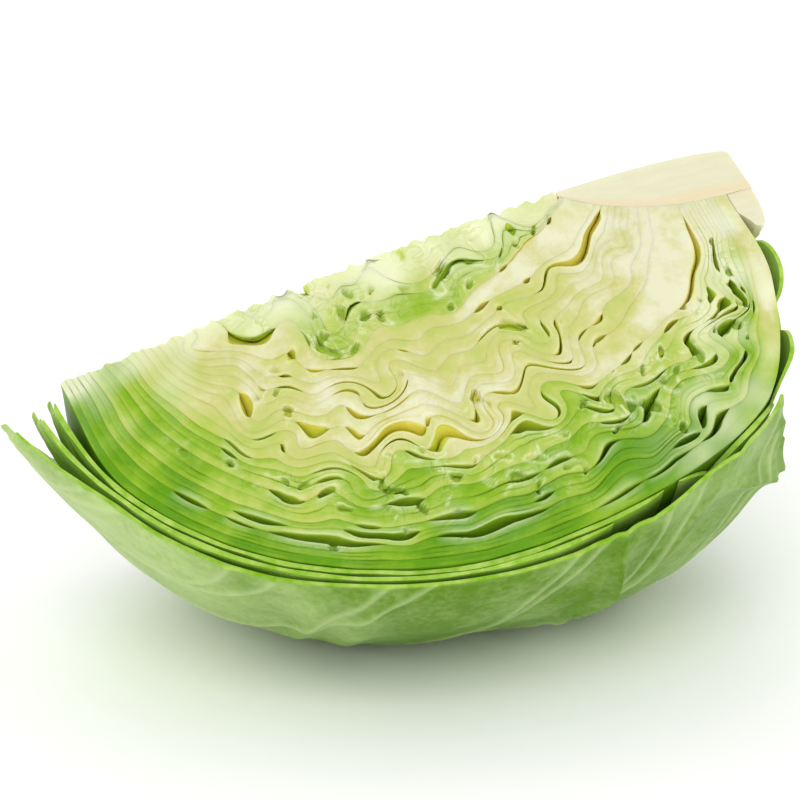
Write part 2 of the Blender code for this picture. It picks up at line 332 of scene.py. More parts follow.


# %% [markdown]
# ## Flesh of a leaf
#
# Cabbage flesh is watery: light goes in, scatters and comes out paler, so it has a soft edge and
# almost no shadow inside. Its colour goes from cream at the heart to full green outside, and shade
# is painted into it, darker and yellower, wherever two leaves meet. The mesh carries how green it
# is, how much painted crease shade it gets, how pale its rim is, partly as a painted highlight,
# and how much it curls. The material turns these into colour, with painted shade lines and
# painted highlights along the curls, and adds a grain along the leaf.

# %% Node helpers
class Tree:
    """A few words for building a material's or a modifier's nodes."""

    def __init__(self, tree):
        self.tree = tree

    def node(self, kind, **settings):
        made = self.tree.nodes.new(kind)
        for key, value in settings.items():
            setattr(made, key, value)
        return made

    def link(self, source, target):
        self.tree.links.new(source, target)

    def put(self, value, socket):
        if isinstance(value, bpy.types.NodeSocket):
            self.link(value, socket)
        else:
            socket.default_value = value

    def math(self, operation, a, b=0.0, c=0.0):
        made = self.node("ShaderNodeMath", operation=operation)
        for socket, value in zip(made.inputs, (a, b, c)):
            self.put(value, socket)
        return made.outputs[0]

    def vector(self, operation, a, b=(0.0, 0.0, 0.0), scale=1.0):
        made = self.node("ShaderNodeVectorMath", operation=operation)
        self.put(a, made.inputs[0])
        if operation == "SCALE":
            self.put(scale, made.inputs["Scale"])
        else:
            self.put(b, made.inputs[1])
        return made.outputs["Vector"]

    def object_place(self):
        return self.node("ShaderNodeTexCoord").outputs["Object"]

    def attribute(self, name, output="Fac"):
        return self.node("ShaderNodeAttribute", attribute_name=name).outputs[output]

    def noise(self, vector, scale, detail=3.0, roughness=0.55, distortion=0.0):
        made = self.node("ShaderNodeTexNoise")
        for key, value in (("Vector", vector), ("Scale", scale), ("Detail", detail),
                           ("Roughness", roughness), ("Distortion", distortion)):
            self.put(value, made.inputs[key])
        return made.outputs["Fac"]

    def varied(self, value, noise, amount):
        return self.math("MULTIPLY_ADD", self.math("SUBTRACT", noise, 0.5), amount, value)

    def bump(self, shader, height, strength, distance):
        made = self.node("ShaderNodeBump")
        made.inputs["Strength"].default_value = strength
        made.inputs["Distance"].default_value = distance
        self.put(height, made.inputs["Height"])
        self.link(made.outputs["Normal"], shader.inputs["Normal"])

    def named(self, name):
        made = self.node("GeometryNodeInputNamedAttribute", data_type="FLOAT")
        made.inputs["Name"].default_value = name
        return made.outputs["Attribute"]

    def stored(self, geometry, name, value):
        made = self.node("GeometryNodeStoreNamedAttribute", data_type="FLOAT", domain="POINT")
        made.inputs["Name"].default_value = name
        self.link(geometry, made.inputs["Geometry"])
        self.link(value, made.inputs["Value"])
        return made.outputs["Geometry"]

    def ramp(self, value, stops):
        made = self.node("ShaderNodeValToRGB")
        elements = made.color_ramp.elements
        while len(elements) < len(stops):
            elements.new(0.5)
        for element, (position, colour) in zip(elements, stops):
            element.position = position
            element.color = (*colour, 1.0)
        self.put(value, made.inputs["Fac"])
        return made.outputs["Color"]

    def mix(self, factor, a, b, blend="MIX"):
        made = self.node("ShaderNodeMix", data_type="RGBA", blend_type=blend)
        self.put(factor, made.inputs["Factor"])
        for value, socket in ((a, made.inputs[6]), (b, made.inputs[7])):
            self.put(value if isinstance(value, bpy.types.NodeSocket) else (*value, 1.0), socket)
        return made.outputs[2]


FLESH_IOR = 1.36
FLESH_SHEEN = 0.24
SCATTER_REACH = 2.2 * MM
SCATTER_TINT = (1.0, 1.0, 0.4)


def new_material(name, roughness, subsurface):
    """An empty material with a soft, slightly wet shader."""
    made = bpy.data.materials.new(name)
    made.use_nodes = True
    shader = made.node_tree.nodes["Principled BSDF"]
    for key, value in (
            ("Roughness", roughness), ("Metallic", 0.0), ("IOR", FLESH_IOR),
            ("Specular IOR Level", FLESH_SHEEN), ("Subsurface Weight", subsurface),
            ("Subsurface Radius", SCATTER_TINT), ("Subsurface Scale", SCATTER_REACH)):
        shader.inputs[key].default_value = value
    return made, Tree(made.node_tree), shader


print("node helpers ready")

# %% Leaf flesh
CREAM_WHITE = (0.720, 0.715, 0.500)
HEART_CREAM = (0.575, 0.570, 0.210)
PALE_GREEN = (0.440, 0.540, 0.100)
LEAF_GREEN = (0.240, 0.425, 0.013)
OUTER_GREEN = (0.108, 0.295, 0.001)
# Painted shade: colours of creases, hollows and the walls seen in them, yellow in the heart and dark
# outside.
CREASE_SHADE_YELLOW = (0.720, 0.620, 0.045)
CREASE_SHADE_GREEN = (0.360, 0.540, 0.020)
CREASE_SHADE_DARK = (0.115, 0.260, 0.005)
# Pale rims: real pale flesh near the ridge and stem, and a painted highlight on the lips of pits,
# hollows and curls.
RIM_PALE_AND_HIGHLIGHT = (0.800, 0.830, 0.560)


def leaf_flesh():
    """Material of the cut leaves: cream to green, painted shade in creases, painted highlights on
    curls and pit rims, and a grain.
    """
    made, tree, shader = new_material("cut_leaf_flesh", 0.42, 0.25)
    green = tree.attribute("green")
    crease_shade = tree.attribute("crease_shade")
    rim = tree.attribute("rim")
    crumple = tree.attribute("crumple")
    grain = tree.attribute("grain", "Vector")
    place_on = tree.object_place()
    patches = tree.noise(place_on, 120.0, 5.0, 0.6)
    streaks = tree.noise(grain, 1.0, 5.0, 0.62)
    curls = tree.noise(place_on, 170.0, 2.5, 0.45, 1.1)
    ridged = tree.math("ABSOLUTE", tree.math("SUBTRACT", curls, 0.5))
    # A thin dark line along each curl: painted shade, also pressed in by the bump.
    curl_shade_line = tree.math("SUBTRACT", 1.0, tree.math("MULTIPLY", ridged, 34.0))
    curl_shade_line = tree.math("MAXIMUM", curl_shade_line, 0.0)
    curl_shade_line = tree.math("MULTIPLY", tree.math("MULTIPLY", curl_shade_line, crumple), 0.55)
    # A pale band beside each curl line: a painted highlight on the rolled fold, also raised by the
    # bump.
    roll = tree.math("SUBTRACT", 1.0, tree.math("ABSOLUTE", tree.math(
        "SUBTRACT", tree.math("MULTIPLY", ridged, 16.0), 1.0)))
    roll = tree.math("MULTIPLY", tree.math("MAXIMUM", roll, 0.0), crumple)
    tone = tree.varied(tree.varied(green, patches, 0.85), streaks, 0.24)
    flesh = tree.ramp(tone, (
        (0.0, CREAM_WHITE), (0.22, HEART_CREAM), (0.46, PALE_GREEN), (0.72, LEAF_GREEN),
        (1.0, OUTER_GREEN)))
    # Painted crease shade colour, chosen by how green the leaf is.
    hollow = tree.ramp(green, (
        (0.10, CREASE_SHADE_YELLOW), (0.48, CREASE_SHADE_GREEN), (0.80, CREASE_SHADE_DARK)))
    # Paleness: real pale rims plus painted highlights on lips and curls.
    pale = tree.math("MINIMUM", tree.math("MULTIPLY_ADD", roll, 0.28, rim), 1.0)
    flesh = tree.mix(pale, flesh, RIM_PALE_AND_HIGHLIGHT)
    # Where painted shade darkens the flesh: creases, hollows, pits and curl lines.
    deep = tree.math("MAXIMUM", crease_shade, curl_shade_line)
    flesh = tree.mix(deep, flesh, hollow)
    tree.link(flesh, shader.inputs["Base Color"])
    height = tree.math("MULTIPLY_ADD", curl_shade_line, -1.0, tree.math("MULTIPLY", streaks, 0.45))
    tree.bump(shader, tree.math("MULTIPLY_ADD", roll, 0.5, height), 0.38, 0.6 * MM)
    return made


FLESH = leaf_flesh()
print("made", FLESH.name)


# %% [markdown]
# ## How the leaves crumple
#
# Inside a head the leaves have no room, so they buckle together. The whole nest is stirred like
# two paints on a plate: each point drifts along one swirling flow, so neighbours move nearly
# alike. The flow is weak at the skin, the ridge, the core and the thick ribs, which stay smooth.
# Neighbours aren't kept apart everywhere: the finished leaves still cut slightly into each other.

# %% Leaf borders and ribs
LEAF_SHARES = (
    [(0.010, 1.2)] * 3
    + [(0.240, 1.2)]
    + [(0.045, 1.1)] * 7
    + [(0.150, 1.0)]
    + [(0.021, 0.9)] * 5
    + [(0.021, 0.6)] * 4
    + [(0.075, 0.6)]
)
SHARES_CHANGE = (0.10, 0.54)
RIBS = {4: (0.40, 0.66), 12: (0.26, 0.46), 22: (0.16, 0.34)}
INNER_RIB, MIDDLE_RIB, OUTER_RIB = RIBS

core_sums = np.cumsum([0.0] + [share[0] for share in LEAF_SHARES])
tip_sums = np.cumsum([0.0] + [share[1] for share in LEAF_SHARES])
AT_CORE = core_sums / core_sums[-1]
AT_TIP = tip_sums / tip_sums[-1]


def border_s(row, t):
    """s of the border between two leaves at t."""
    mix = ease(t, *SHARES_CHANGE)
    return np.minimum(1.0, AT_CORE[row] * (1.0 - mix) + AT_TIP[row] * mix)


def rib_share(s, t, margin=0.0):
    """1 in the middle of a thick rib, 0 outside it and its margin."""
    total = 0.0
    for number, (start, stop) in RIBS.items():
        low, high = border_s(number - 1, t) - margin, border_s(number, t) + margin
        blur = (high - low) * 0.30 + 0.004
        inside = ease(s, low - blur, low + blur) * (1.0 - ease(s, high - blur, high + blur))
        total = total + inside * (1.0 - ease(t, start, stop))
    return np.clip(total, 0.0, 1.0)


print("rib in the middle of leaf 4:", float(rib_share(0.12, 0.1).round(2)))

# %% Stirring the nest
FLOW_WAVES = 34
FLOW_STEPS = 14
FLOW_SHORTEST = 10.0 * MM
FLOW_LONGEST = 30.0 * MM
FLOW_REACH = 2.6 * MM
FLOW_DRIFT = 2.4

flow_dice = np.random.default_rng(11)
flow_length = np.exp(flow_dice.uniform(math.log(FLOW_SHORTEST), math.log(FLOW_LONGEST), FLOW_WAVES))
flow_angle = flow_dice.uniform(0.0, 2.0 * math.pi, FLOW_WAVES)
FLOW_WAY = np.stack((np.cos(flow_angle), np.sin(flow_angle)), 1) * (
    2.0 * math.pi / flow_length)[:, None]
FLOW_PHASE = flow_dice.uniform(0.0, 2.0 * math.pi, FLOW_WAVES)
FLOW_CHANGE = flow_dice.normal(0.0, FLOW_DRIFT, FLOW_WAVES)
FLOW_SIZE = flow_length ** 0.8
FLOW_SIZE /= math.sqrt(((FLOW_SIZE / flow_length * 2.0 * math.pi) ** 2).sum() * 0.5)


def flow(points, depth):
    """Speed of the swirling flow at points, with a depth from 0 (front cut) to 1 (back cut)."""
    u, w = points[..., 0], points[..., 1]
    along, out = np.zeros_like(u), np.zeros_like(u)
    for way, phase, change, size in zip(FLOW_WAY, FLOW_PHASE, FLOW_CHANGE, FLOW_SIZE):
        push = size * np.cos(u * way[0] + w * way[1] + phase + change * depth)
        along += push * way[1]
        out -= push * way[0]
    return np.stack((along, out), -1)


def stirring(s, t, points):
    """How far the flow carries each point."""
    u, w = points[..., 0], points[..., 1]
    reach = ease(w, 0.4 * MM, 4.5 * MM) * (1.0 - ease(s, 0.86, 0.985)) * ease(t, 0.04, 0.15)
    reach *= 1.0 - 0.95 * rib_share(s, t, 0.05)
    reach *= 1.0 - 0.86 * ease(u, 0.118, 0.138)
    outer = ease(s, 0.62, 0.80) * ease(u, 0.045, 0.070)
    return FLOW_REACH * reach * (1.0 - 0.62 * outer)


def stirred(s, t, points, depth):
    """Points of the nest after the flow has carried them."""
    step = (stirring(s, t, points) / FLOW_STEPS)[..., None]
    for _ in range(FLOW_STEPS):
        half = points + flow(points, depth) * step * 0.5
        points = points + flow(half, depth) * step
    return points


print("flow of", FLOW_WAVES, "waves")


# %% [markdown]
# ## Hollows between the leaves
#
# Where crumpled leaves don't fill the space, a lens-shaped hollow stays open: short, with painted
# deep yellow shade, in the heart, and long, narrow, with painted dark shade, outside. A hollow opens
# at the border between two leaves. It pushes its neighbours aside, less and less with distance, and
# it closes again a few millimetres behind the cut.

# %% Hollows
TIGHT_GAP = 0.003 * MM
HOLLOW_DEPTH = (1.5 * MM, 2.6 * MM)
MOST_SQUEEZE = 0.6
HOLLOWS = (
    # along, out, half length, half width, reach of the push: all in millimetres
    (41, 10, 14.0, 0.75, 5.0), (21, 24, 13.0, 0.60, 4.0),
    (127, 19, 2.6, 1.25, 4.0), (116, 31, 3.2, 1.50, 4.5), (100, 40, 7.0, 1.60, 5.0),
    (88, 43, 6.0, 1.30, 4.0), (107, 35, 3.0, 0.50, 3.0), (77, 46, 1.4, 0.90, 3.0),
    (75, 50, 4.0, 0.65, 3.0), (116, 5, 4.5, 1.10, 2.8), (62, 38, 3.5, 0.55, 3.0),
    (113, 16, 1.8, 0.60, 3.0), (92, 49, 3.5, 0.50, 3.0), (69, 6, 5.0, 0.55, 2.5),
    (98, 29, 3.5, 0.40, 3.0), (104, 25, 6.0, 0.35, 3.0), (57, 42, 1.6, 0.50, 2.5),
    (128, 43, 3.5, 0.60, 2.5), (119, 49, 1.8, 0.90, 2.5), (133, 47, 6.0, 0.55, 2.5),
    (123, 56, 12.0, 0.80, 2.8), (113, 60, 8.0, 0.75, 2.5), (103, 54, 3.0, 0.60, 2.5),
    (98, 61, 5.0, 0.75, 2.5), (88, 68, 9.0, 0.65, 2.2), (95, 66, 8.0, 0.60, 2.2),
    (80, 60, 3.5, 0.50, 2.5), (72, 58, 3.0, 0.55, 2.5), (62, 61, 4.0, 0.50, 2.5),
    (51, 54, 2.0, 0.60, 2.5), (46, 63, 3.0, 0.95, 2.5), (40, 61, 3.0, 0.80, 2.5),
    (52, 68, 6.0, 0.50, 1.8), (38, 68, 6.0, 0.70, 1.8), (64, 70, 6.0, 0.45, 1.8),
    (30, 41, 3.0, 0.60, 3.0), (19, 33, 3.4, 0.95, 3.6), (24, 37, 3.0, 0.50, 2.5),
    (22, 43, 2.4, 0.55, 2.8), (34, 48, 3.0, 0.70, 2.5), (26, 50, 2.5, 0.80, 2.5),
    (16, 25, 3.0, 0.70, 2.2), (44, 50, 3.5, 0.50, 2.5), (33, 56, 3.0, 0.60, 2.5),
)


def nearest_place(along, out):
    """s, t and the run of the layer for each unit of t, at a place in millimetres."""
    s, t = np.meshgrid(np.linspace(0, 1, 90), np.linspace(0, 1, 240), indexing="ij")
    points = layer(s, t) / MM
    k = np.argmin(((points - np.array((along, out))) ** 2).sum(-1))
    s, t = s.flat[k], t.flat[k]
    run = np.linalg.norm(layer(s, min(1.0, t + 0.01)) - layer(s, max(0.0, t - 0.01))) / 0.02
    return s, t, run


def set_out_hollows():
    """The border, middle, half length in t, half width and reach of each hollow."""
    made = []
    for along, out, half_length, half_width, reach in HOLLOWS:
        s, t, run = nearest_place(along, out)
        row = 1 + int(np.argmin([abs(border_s(k, t) - s) for k in range(1, len(LEAF_SHARES))]))
        made.append((row, t, half_length * MM / run, half_width * MM, reach * MM))
    return made


def seeded_hollows(seed, count):
    """Small hollows at random places, to fill in between the large ones."""
    dice = np.random.default_rng(seed)
    made = []
    for _ in range(count):
        row = int(dice.integers(1, len(LEAF_SHARES) - 1))
        t = dice.uniform(0.34 if INNER_RIB < row <= MIDDLE_RIB else 0.16, 0.84)
        size = dice.uniform(*((0.25, 0.55) if INNER_RIB < row < MIDDLE_RIB else (0.30, 0.65)))
        made.append((row, t, dice.uniform(0.006, 0.020), size * MM, 2.2 * MM))
    return made


OPENINGS = set_out_hollows() + seeded_hollows(5, 70)


def open_up(number, s, t, behind):
    """Move s away from every hollow, to the side that the leaf is on.

    Distances are measured at the point itself. Hollows that crowd together open less.
    """
    shift, openness, squeeze = np.zeros_like(s), np.zeros_like(s), np.zeros_like(s)
    deep = np.maximum(layer_depth(s, t), 1e-4)
    ribs = rib_share(s, t)
    behind = behind * layer(s, t)[..., 1]
    shallow, deeper = (np.exp(-(behind / depth) ** 2) for depth in HOLLOW_DEPTH)
    for row, centre, half_length, half_width, reach in OPENINGS:
        fade = shallow if row <= MIDDLE_RIB else deeper
        x = np.clip((t - centre) / half_length, -1.0, 1.0)
        lens = (1.0 - x * x) ** 0.8 * fade
        side = 1.0 if number > row else -1.0
        away = np.abs(s - border_s(row, t)) * deep
        push = half_width * lens * np.exp(-away / reach)
        room = 1.0 - ribs * 0.75 * float(row not in (INNER_RIB, MIDDLE_RIB))
        shift = shift + side * push * room
        squeeze = squeeze + push * room / reach
        openness = np.maximum(openness, lens * np.exp(-away / (0.9 * MM)) * min(
            1.0, half_width / (0.7 * MM)))
    shift = shift / np.maximum(1.0, squeeze / MOST_SQUEEZE)
    held = ease(s, 0.0, 0.06) * (1.0 - ease(s, 0.94, 1.0)) * ease(t, 0.01, 0.06)
    return s + shift * held / deep, openness


print("hollows:", len(OPENINGS))


# %% [markdown]
# ## One leaf of the head
#
# A leaf is two fine grids, one on each cut, joined by a wall that runs through the head. On the
# cuts its edges are rounded and its middle has a shallow crease, because most leaves fold double.

# %% One leaf
ACROSS = np.array((0.0, 0.05, 0.12, 0.22, 0.34, 0.43, 0.5, 0.57, 0.66, 0.78, 0.88, 0.95, 1.0))
THROUGH = np.array((0.0, 0.010, 0.025, 0.05, 0.10, 0.22, 0.5, 0.78, 0.90, 0.95, 0.975, 0.99, 1.0))
STATION_STEP = 0.42 * MM
THINNEST_BAND = 0.22 * MM
EDGE_ROUND = 0.75 * MM
EDGE_SINK = 0.45 * MM
CREASE_WIDTH = 0.20 * MM
CREASE_SINK = 0.30 * MM
TONE_WAVES = waves(21, 9 * MM, 45 * MM)
SEAM_WAVES = waves(22, 7 * MM, 24 * MM)
FOLD_WAVES = waves(24, 7 * MM, 20 * MM)
SINK_WAVES = waves(23, 6 * MM, 22 * MM)
CURL_WAVES = waves(25, 10 * MM, 40 * MM)
POCKET_WAVES = waves(26, 2.8 * MM, 7.0 * MM, 18)
POCKET_WARP = waves(27, 5 * MM, 14 * MM)
POCKET_SINK = 1.2 * MM
LAST_BROKEN_SEAM = 13

LEAF_GREENS = (0.40, 0.50, 0.56, 0.47, 0.20, 0.22, 0.20, 0.25, 0.17, 0.22, 0.19, 0.24, 0.27, 0.46,
               0.60, 0.56, 0.70, 0.64, 0.84, 0.76, 0.96, 0.88, 1.00)
LEAF_CRUMPLES = (
    0.70, 0.95, 0.95, 0.85, 0.12, 0.20, 0.16, 0.26, 0.20, 0.30, 0.24, 0.34, 0.38, 0.60, 0.75, 0.65,
    0.75, 0.55, 0.60, 0.35, 0.40, 0.20, 0.10)
BORDER_SEAMS = np.array((
    0.20, 0.28, 0.22, 0.50, 0.22, 0.10, 0.16, 0.08, 0.18, 0.10, 0.16, 0.12, 0.35, 0.20, 0.75, 0.25,
    0.60, 0.70, 0.30, 0.75, 0.35, 0.70, 0.60))


def seam_share(number, x, points, side):
    """How clearly two leaves part where they touch: fused in the heart, loose outside."""
    u, w = points[..., 0], points[..., 1]
    base = BORDER_SEAMS[np.where(x < 0.5, max(number - 1, 0), number)]
    base = base + 0.14 * ease(u, 0.055, 0.090) * ease(w, 0.018, 0.034) * (
        INNER_RIB < number <= MIDDLE_RIB)
    base = base * (1.0 - 0.62 * ease(u, 0.126, 0.140) * (1.0 - ease(w, 0.020, 0.045)))
    lively = noise(SEAM_WAVES, u, w, side * 0.05)
    if number <= LAST_BROKEN_SEAM:
        lively = np.clip(0.25 + 1.9 * lively, 0.0, 2.2)
    else:
        lively = 0.75 + 0.9 * lively
    stem_side = (1.0 - ease(u, 0.030, 0.050)) * float(number > MIDDLE_RIB)
    calm = 1.0 - 0.8 * (INNER_RIB < number < MIDDLE_RIB) * (1.0 - ease(u, 0.036, 0.060))
    return np.clip(base * lively * (1.0 - 0.65 * stem_side) * calm, 0.0, 1.0)


def crumple_share(number, s, t, points, depth):
    """How much small curling a place has: most in the first leaves and past the middle rib."""
    u, w = points[..., 0], points[..., 1]
    base = LEAF_CRUMPLES[number] * (0.7 + 0.8 * noise(CURL_WAVES, u, w, depth * 0.07))
    base = base * (1.0 - 0.85 * ease(u, 0.118, 0.138)) * (1.0 - rib_share(s, t, 0.01))
    outer = ease(s, 0.70, 0.86) * ease(u, 0.045, 0.070)
    core_side = ease(t, 0.05, 0.14)
    heart_calm = 1.0 - 0.8 * (INNER_RIB < number < MIDDLE_RIB) * (1.0 - ease(u, 0.045, 0.075))
    return np.clip(base * core_side * (1.0 - 0.5 * outer) * heart_calm, 0.0, 1.0)


def band(number, t, x, behind):
    """Points across one leaf, before it is stirred, with s, thickness and openness."""
    low, high = border_s(number - 1, t), border_s(number, t)
    deep = np.maximum(layer_depth((low + high) * 0.5, t), 1e-4)
    thick = (high - low) * deep
    s = (low + TIGHT_GAP / deep) * (1.0 - x) + (high - TIGHT_GAP / deep) * x
    s, openness = open_up(number, s, t, behind)
    return layer(s, t), s, thick, openness


def close_ridge(points, t):
    """Bring the ends of the leaves right up to the ridge."""
    out = points[..., 1] - (RIDGE_CLEARANCE - 0.05 * MM) * ease(t, 0.93, 1.0)
    return np.stack((points[..., 0], np.maximum(out, 0.04 * MM)), -1)


def leaf_stations(number):
    """Places along a leaf where it is thick enough to make."""
    t = np.linspace(0.0, 1.0, 1200)
    low, high = border_s(number - 1, t), border_s(number, t)
    thick = (high - low) * layer_depth((low + high) * 0.5, t)
    kept = t[thick > THINNEST_BAND]
    line = layer((low + high) * 0.5, t)
    length = np.linalg.norm(np.diff(line, axis=0), axis=1).sum()
    count = int(length * (kept[-1] - kept[0]) / STATION_STEP)
    return np.linspace(kept[0], kept[-1], count), length


def pockets(moved, side, crumple):
    """Small pits between curled folds, and the pale rim round each, which is a painted highlight on
    its lip.
    """
    u, w = moved[..., 0], moved[..., 1]
    warp = noise(POCKET_WARP, u, w, side * 0.05) * 1.2 * MM
    value = noise(POCKET_WAVES, u + warp, w - warp * 0.6, side * 0.05)
    level = -1.12 + 0.80 * crumple
    pocket = ease(level - value, 0.0, 0.40) * ease(crumple, 0.10, 0.22)
    # The pale ring just outside a pit is a painted highlight on its lip.
    rim = np.clip(1.0 - np.abs(value - level - 0.22) / 0.22, 0.0, 1.0) * ease(crumple, 0.04, 0.3)
    return pocket, 0.55 * rim


def face_relief(number, x, t, thick, moved, s, openness, side, crumple):
    """How far the cut surface lies behind the knife's plane, its painted crease shade, and how pale
    it is, partly as a painted highlight.
    """
    near = np.minimum(x, 1.0 - x) * thick
    edge = np.clip(near / np.minimum(EDGE_ROUND, thick * 0.30), 0.0, 1.0)
    rib = rib_share(s, t)
    seam = np.maximum(seam_share(number, x, moved, side) * (1.0 - 0.7 * rib), openness)
    fold = np.clip(0.35 + noise(FOLD_WAVES, moved[..., 0], number * 0.01, side * 0.1), 0.0, 1.0)
    fold = fold * seam * (1.0 - rib) * ease(thick, 1.1 * MM, 2.0 * MM)
    middle = np.exp(-(((x - 0.5) * thick) / CREASE_WIDTH) ** 2) * fold
    sink = np.clip(noise(SINK_WAVES, t * 0.2, number * 0.02, side) * 0.5 + 0.1, 0.0, 1.0)
    relief = EDGE_SINK * (1.0 - np.sqrt(1.0 - (1.0 - edge) ** 2)) * seam
    relief = relief + CREASE_SINK * middle + 0.50 * MM * sink * seam * (1.0 - rib)
    pocket, pocket_rim = pockets(moved, side, crumple)
    relief = relief + POCKET_SINK * pocket
    relief = relief * ease(moved[..., 1], 0.3 * MM, 3.0 * MM) * ease(t, 0.02, 0.06)
    # Painted shade at the rounded band edges, in the middle crease and in pits.
    crease_shade = np.maximum((1.0 - edge) ** 1.3 * 0.85 * seam, middle * 0.70)
    crease_shade = np.maximum(crease_shade, 0.80 * pocket ** 1.4)
    # Pale lips of hollows and pits are painted highlights; the milky band near the ridge and the
    # whitish stem-side rims are pale flesh.
    rim = np.maximum(openness * ease(near, 0.10 * MM, 0.35 * MM) * 0.85, pocket_rim)
    milky = 0.75 - 0.55 * ease(moved[..., 1], 0.5 * MM, 8.0 * MM) + 0.3 * noise(
        SEAM_WAVES, moved[..., 0], moved[..., 1], 0.3)
    last = (12.0 + 10.0 * ease(moved[..., 0], 0.112, 0.130)) * MM
    milky = np.clip(milky, 0.0, 0.85) * (1.0 - ease(moved[..., 1], 4.0 * MM, last))
    rim = np.maximum(rim, milky * ease(moved[..., 0], 0.035, 0.05))
    if number > MIDDLE_RIB:
        whitish = 0.30 + 0.35 * noise(SEAM_WAVES, moved[..., 0], moved[..., 1], 0.6 + side)
        whitish = np.clip(whitish, 0.0, 0.7) * (1.0 - ease(moved[..., 0], 0.032, 0.060))
        rim = np.maximum(rim, whitish)
    return relief, crease_shade, rim


CREAM_REACH = (0.30, 0.17)
GREEN_TINGED_LEAVES = range(5, 9)


def greenness(number, s, t, x, points, depth):
    """How green a leaf is: cream at the heart and in ribs, deep green outside and at the tip."""
    u, w = points[..., 0], points[..., 1]
    tone = LEAF_GREENS[number] + 0.10 * noise(TONE_WAVES, u, w, depth * 0.09)
    tone = tone + 0.22 * ease(u, 0.125, 0.150) * (1.0 - ease(s, 0.6, 1.0))
    tone = tone + 0.10 * ease(u, 0.040, 0.060) * ease(u, 0.085, 0.060) * (
        number in GREEN_TINGED_LEAVES)
    outside = MIDDLE_RIB < number < OUTER_RIB
    tone = tone - 0.22 * (1.0 - ease(u, 0.024, 0.052)) * float(outside)
    tone = tone + 0.20 * (0.5 - x) * (1.0 - 0.5 * float(number <= MIDDLE_RIB))
    reach = CREAM_REACH[1] if outside else CREAM_REACH[0]
    tone = tone * (0.10 + 0.90 * ease(t, 0.03, reach))
    rib = rib_share(s, t)
    return tone * (1.0 - rib) + (0.13 if number == OUTER_RIB else 0.02) * rib


def leaf_points(number, t, x, share, side_into):
    """Points and attributes of one leaf on a cut or, where side_into is None, in a wall."""
    turn = CUT_FRONT + (CUT_BACK - CUT_FRONT) * share
    behind = np.minimum(share, 1.0 - share) * (CUT_FRONT - CUT_BACK)
    if number == 0:
        points, s, thick, openness = bud_band(t, x)
    else:
        points, s, thick, openness = band(number, t, x, behind)
    points = close_ridge(points, t)
    moved = stirred(s, t, points, share)
    made = place(moved[..., 0], np.maximum(moved[..., 1], 0.04 * MM), turn)
    crumple = crumple_share(number, s, t, moved, share)
    if side_into is None:
        skin = float(number == len(LEAF_SHARES)) * ease(x, 0.9, 1.0)
        # Walls get the painted crease shade, seen deep inside the hollows.
        crease_shade = np.full_like(t, 0.92) * (1.0 - 0.5 * rib_share(s, t)) * (1.0 - skin)
        rim = np.zeros_like(t)
    else:
        side = float(share.flat[0])
        relief, crease_shade, rim = face_relief(
            number, x, t, thick, moved, s, openness, side, crumple)
        made = made + side_into * relief[..., None]
    return made, crease_shade, rim, greenness(number, s, t, x, points, share), crumple


def make_leaf(number, name):
    """Make one leaf from its two cut faces and the wall between them."""
    stations, length = bud_stations() if number == 0 else leaf_stations(number)
    rows, columns = len(stations), len(ACROSS)
    loop = [(k, 0) for k in range(rows)] + [(rows - 1, j) for j in range(1, columns)]
    loop += [(k, columns - 1) for k in range(rows - 2, -1, -1)]
    loop += [(0, j) for j in range(columns - 2, 0, -1)]
    loop = np.array(loop)
    t, x = np.broadcast_arrays(stations[:, None], ACROSS[None, :])
    parts = [
        leaf_points(number, t, x, np.zeros_like(t), INTO_FRONT),
        leaf_points(number, t, x, np.ones_like(t), INTO_BACK),
    ]
    inner = THROUGH[1:-1]
    loop_t = np.broadcast_to(t[loop[:, 0], loop[:, 1]], (len(inner), len(loop)))
    loop_x = np.broadcast_to(x[loop[:, 0], loop[:, 1]], (len(inner), len(loop)))
    share = np.broadcast_to(inner[:, None], loop_t.shape)
    parts.append(leaf_points(number, loop_t, loop_x, share, None))
    points, crease_shade, rim, green, crumple = (
        np.concatenate([part[i].reshape(-1, *part[i].shape[2:]) for part in parts])
        for i in range(5))
    all_t = np.concatenate([t.ravel(), t.ravel(), loop_t.ravel()])
    all_x = np.concatenate([x.ravel(), x.ravel(), loop_x.ravel()])
    all_share = np.concatenate([np.zeros(t.size), np.ones(t.size), share.ravel()])
    grain = np.stack((all_t * length * 260.0, all_x * 2.6 + number * 7.0, all_share * 20.0), -1)
    index, faces = two_grids(rows, columns)
    front = index[loop[:, 0], loop[:, 1]]
    rings = [front]
    rings += [2 * rows * columns + q * len(loop) + np.arange(len(loop)) for q in range(len(inner))]
    rings.append(front + rows * columns)
    for near, far in zip(rings, rings[1:]):
        near_next, far_next = np.roll(near, -1), np.roll(far, -1)
        faces.append(np.stack((near_next, near, far, far_next), 1))
    add_piece(name, points, np.concatenate(faces), FLESH, {
        "crease_shade": crease_shade, "rim": rim, "green": green, "crumple": crumple, "grain": grain})


print("a leaf band is", len(ACROSS), "points across and", len(THROUGH), "through the head")

# %% Heart bud
BUD_SPAN = (0.06, 0.935)


def bud_stations():
    """Places along the bud, which is the tightest leaves in the middle."""
    t = np.linspace(*BUD_SPAN, 400)
    length = np.linalg.norm(np.diff(layer(0.0, t), axis=0), axis=1).sum()
    return np.linspace(*BUD_SPAN, int(length / STATION_STEP)), length


def bud_band(t, x):
    """Points across the bud, from the ridge to the first leaf."""
    outer = layer(0.0, t) - outward(0.0, t) * TIGHT_GAP
    inner = np.stack((outer[..., 0], np.minimum(RIDGE_CLEARANCE * 0.1, outer[..., 1] * 0.5)), -1)
    points = inner + (outer - inner) * x[..., None]
    return points, np.zeros_like(t), outer[..., 1] - inner[..., 1], np.zeros_like(t)


print("stations along the bud:", len(bud_stations()[0]))

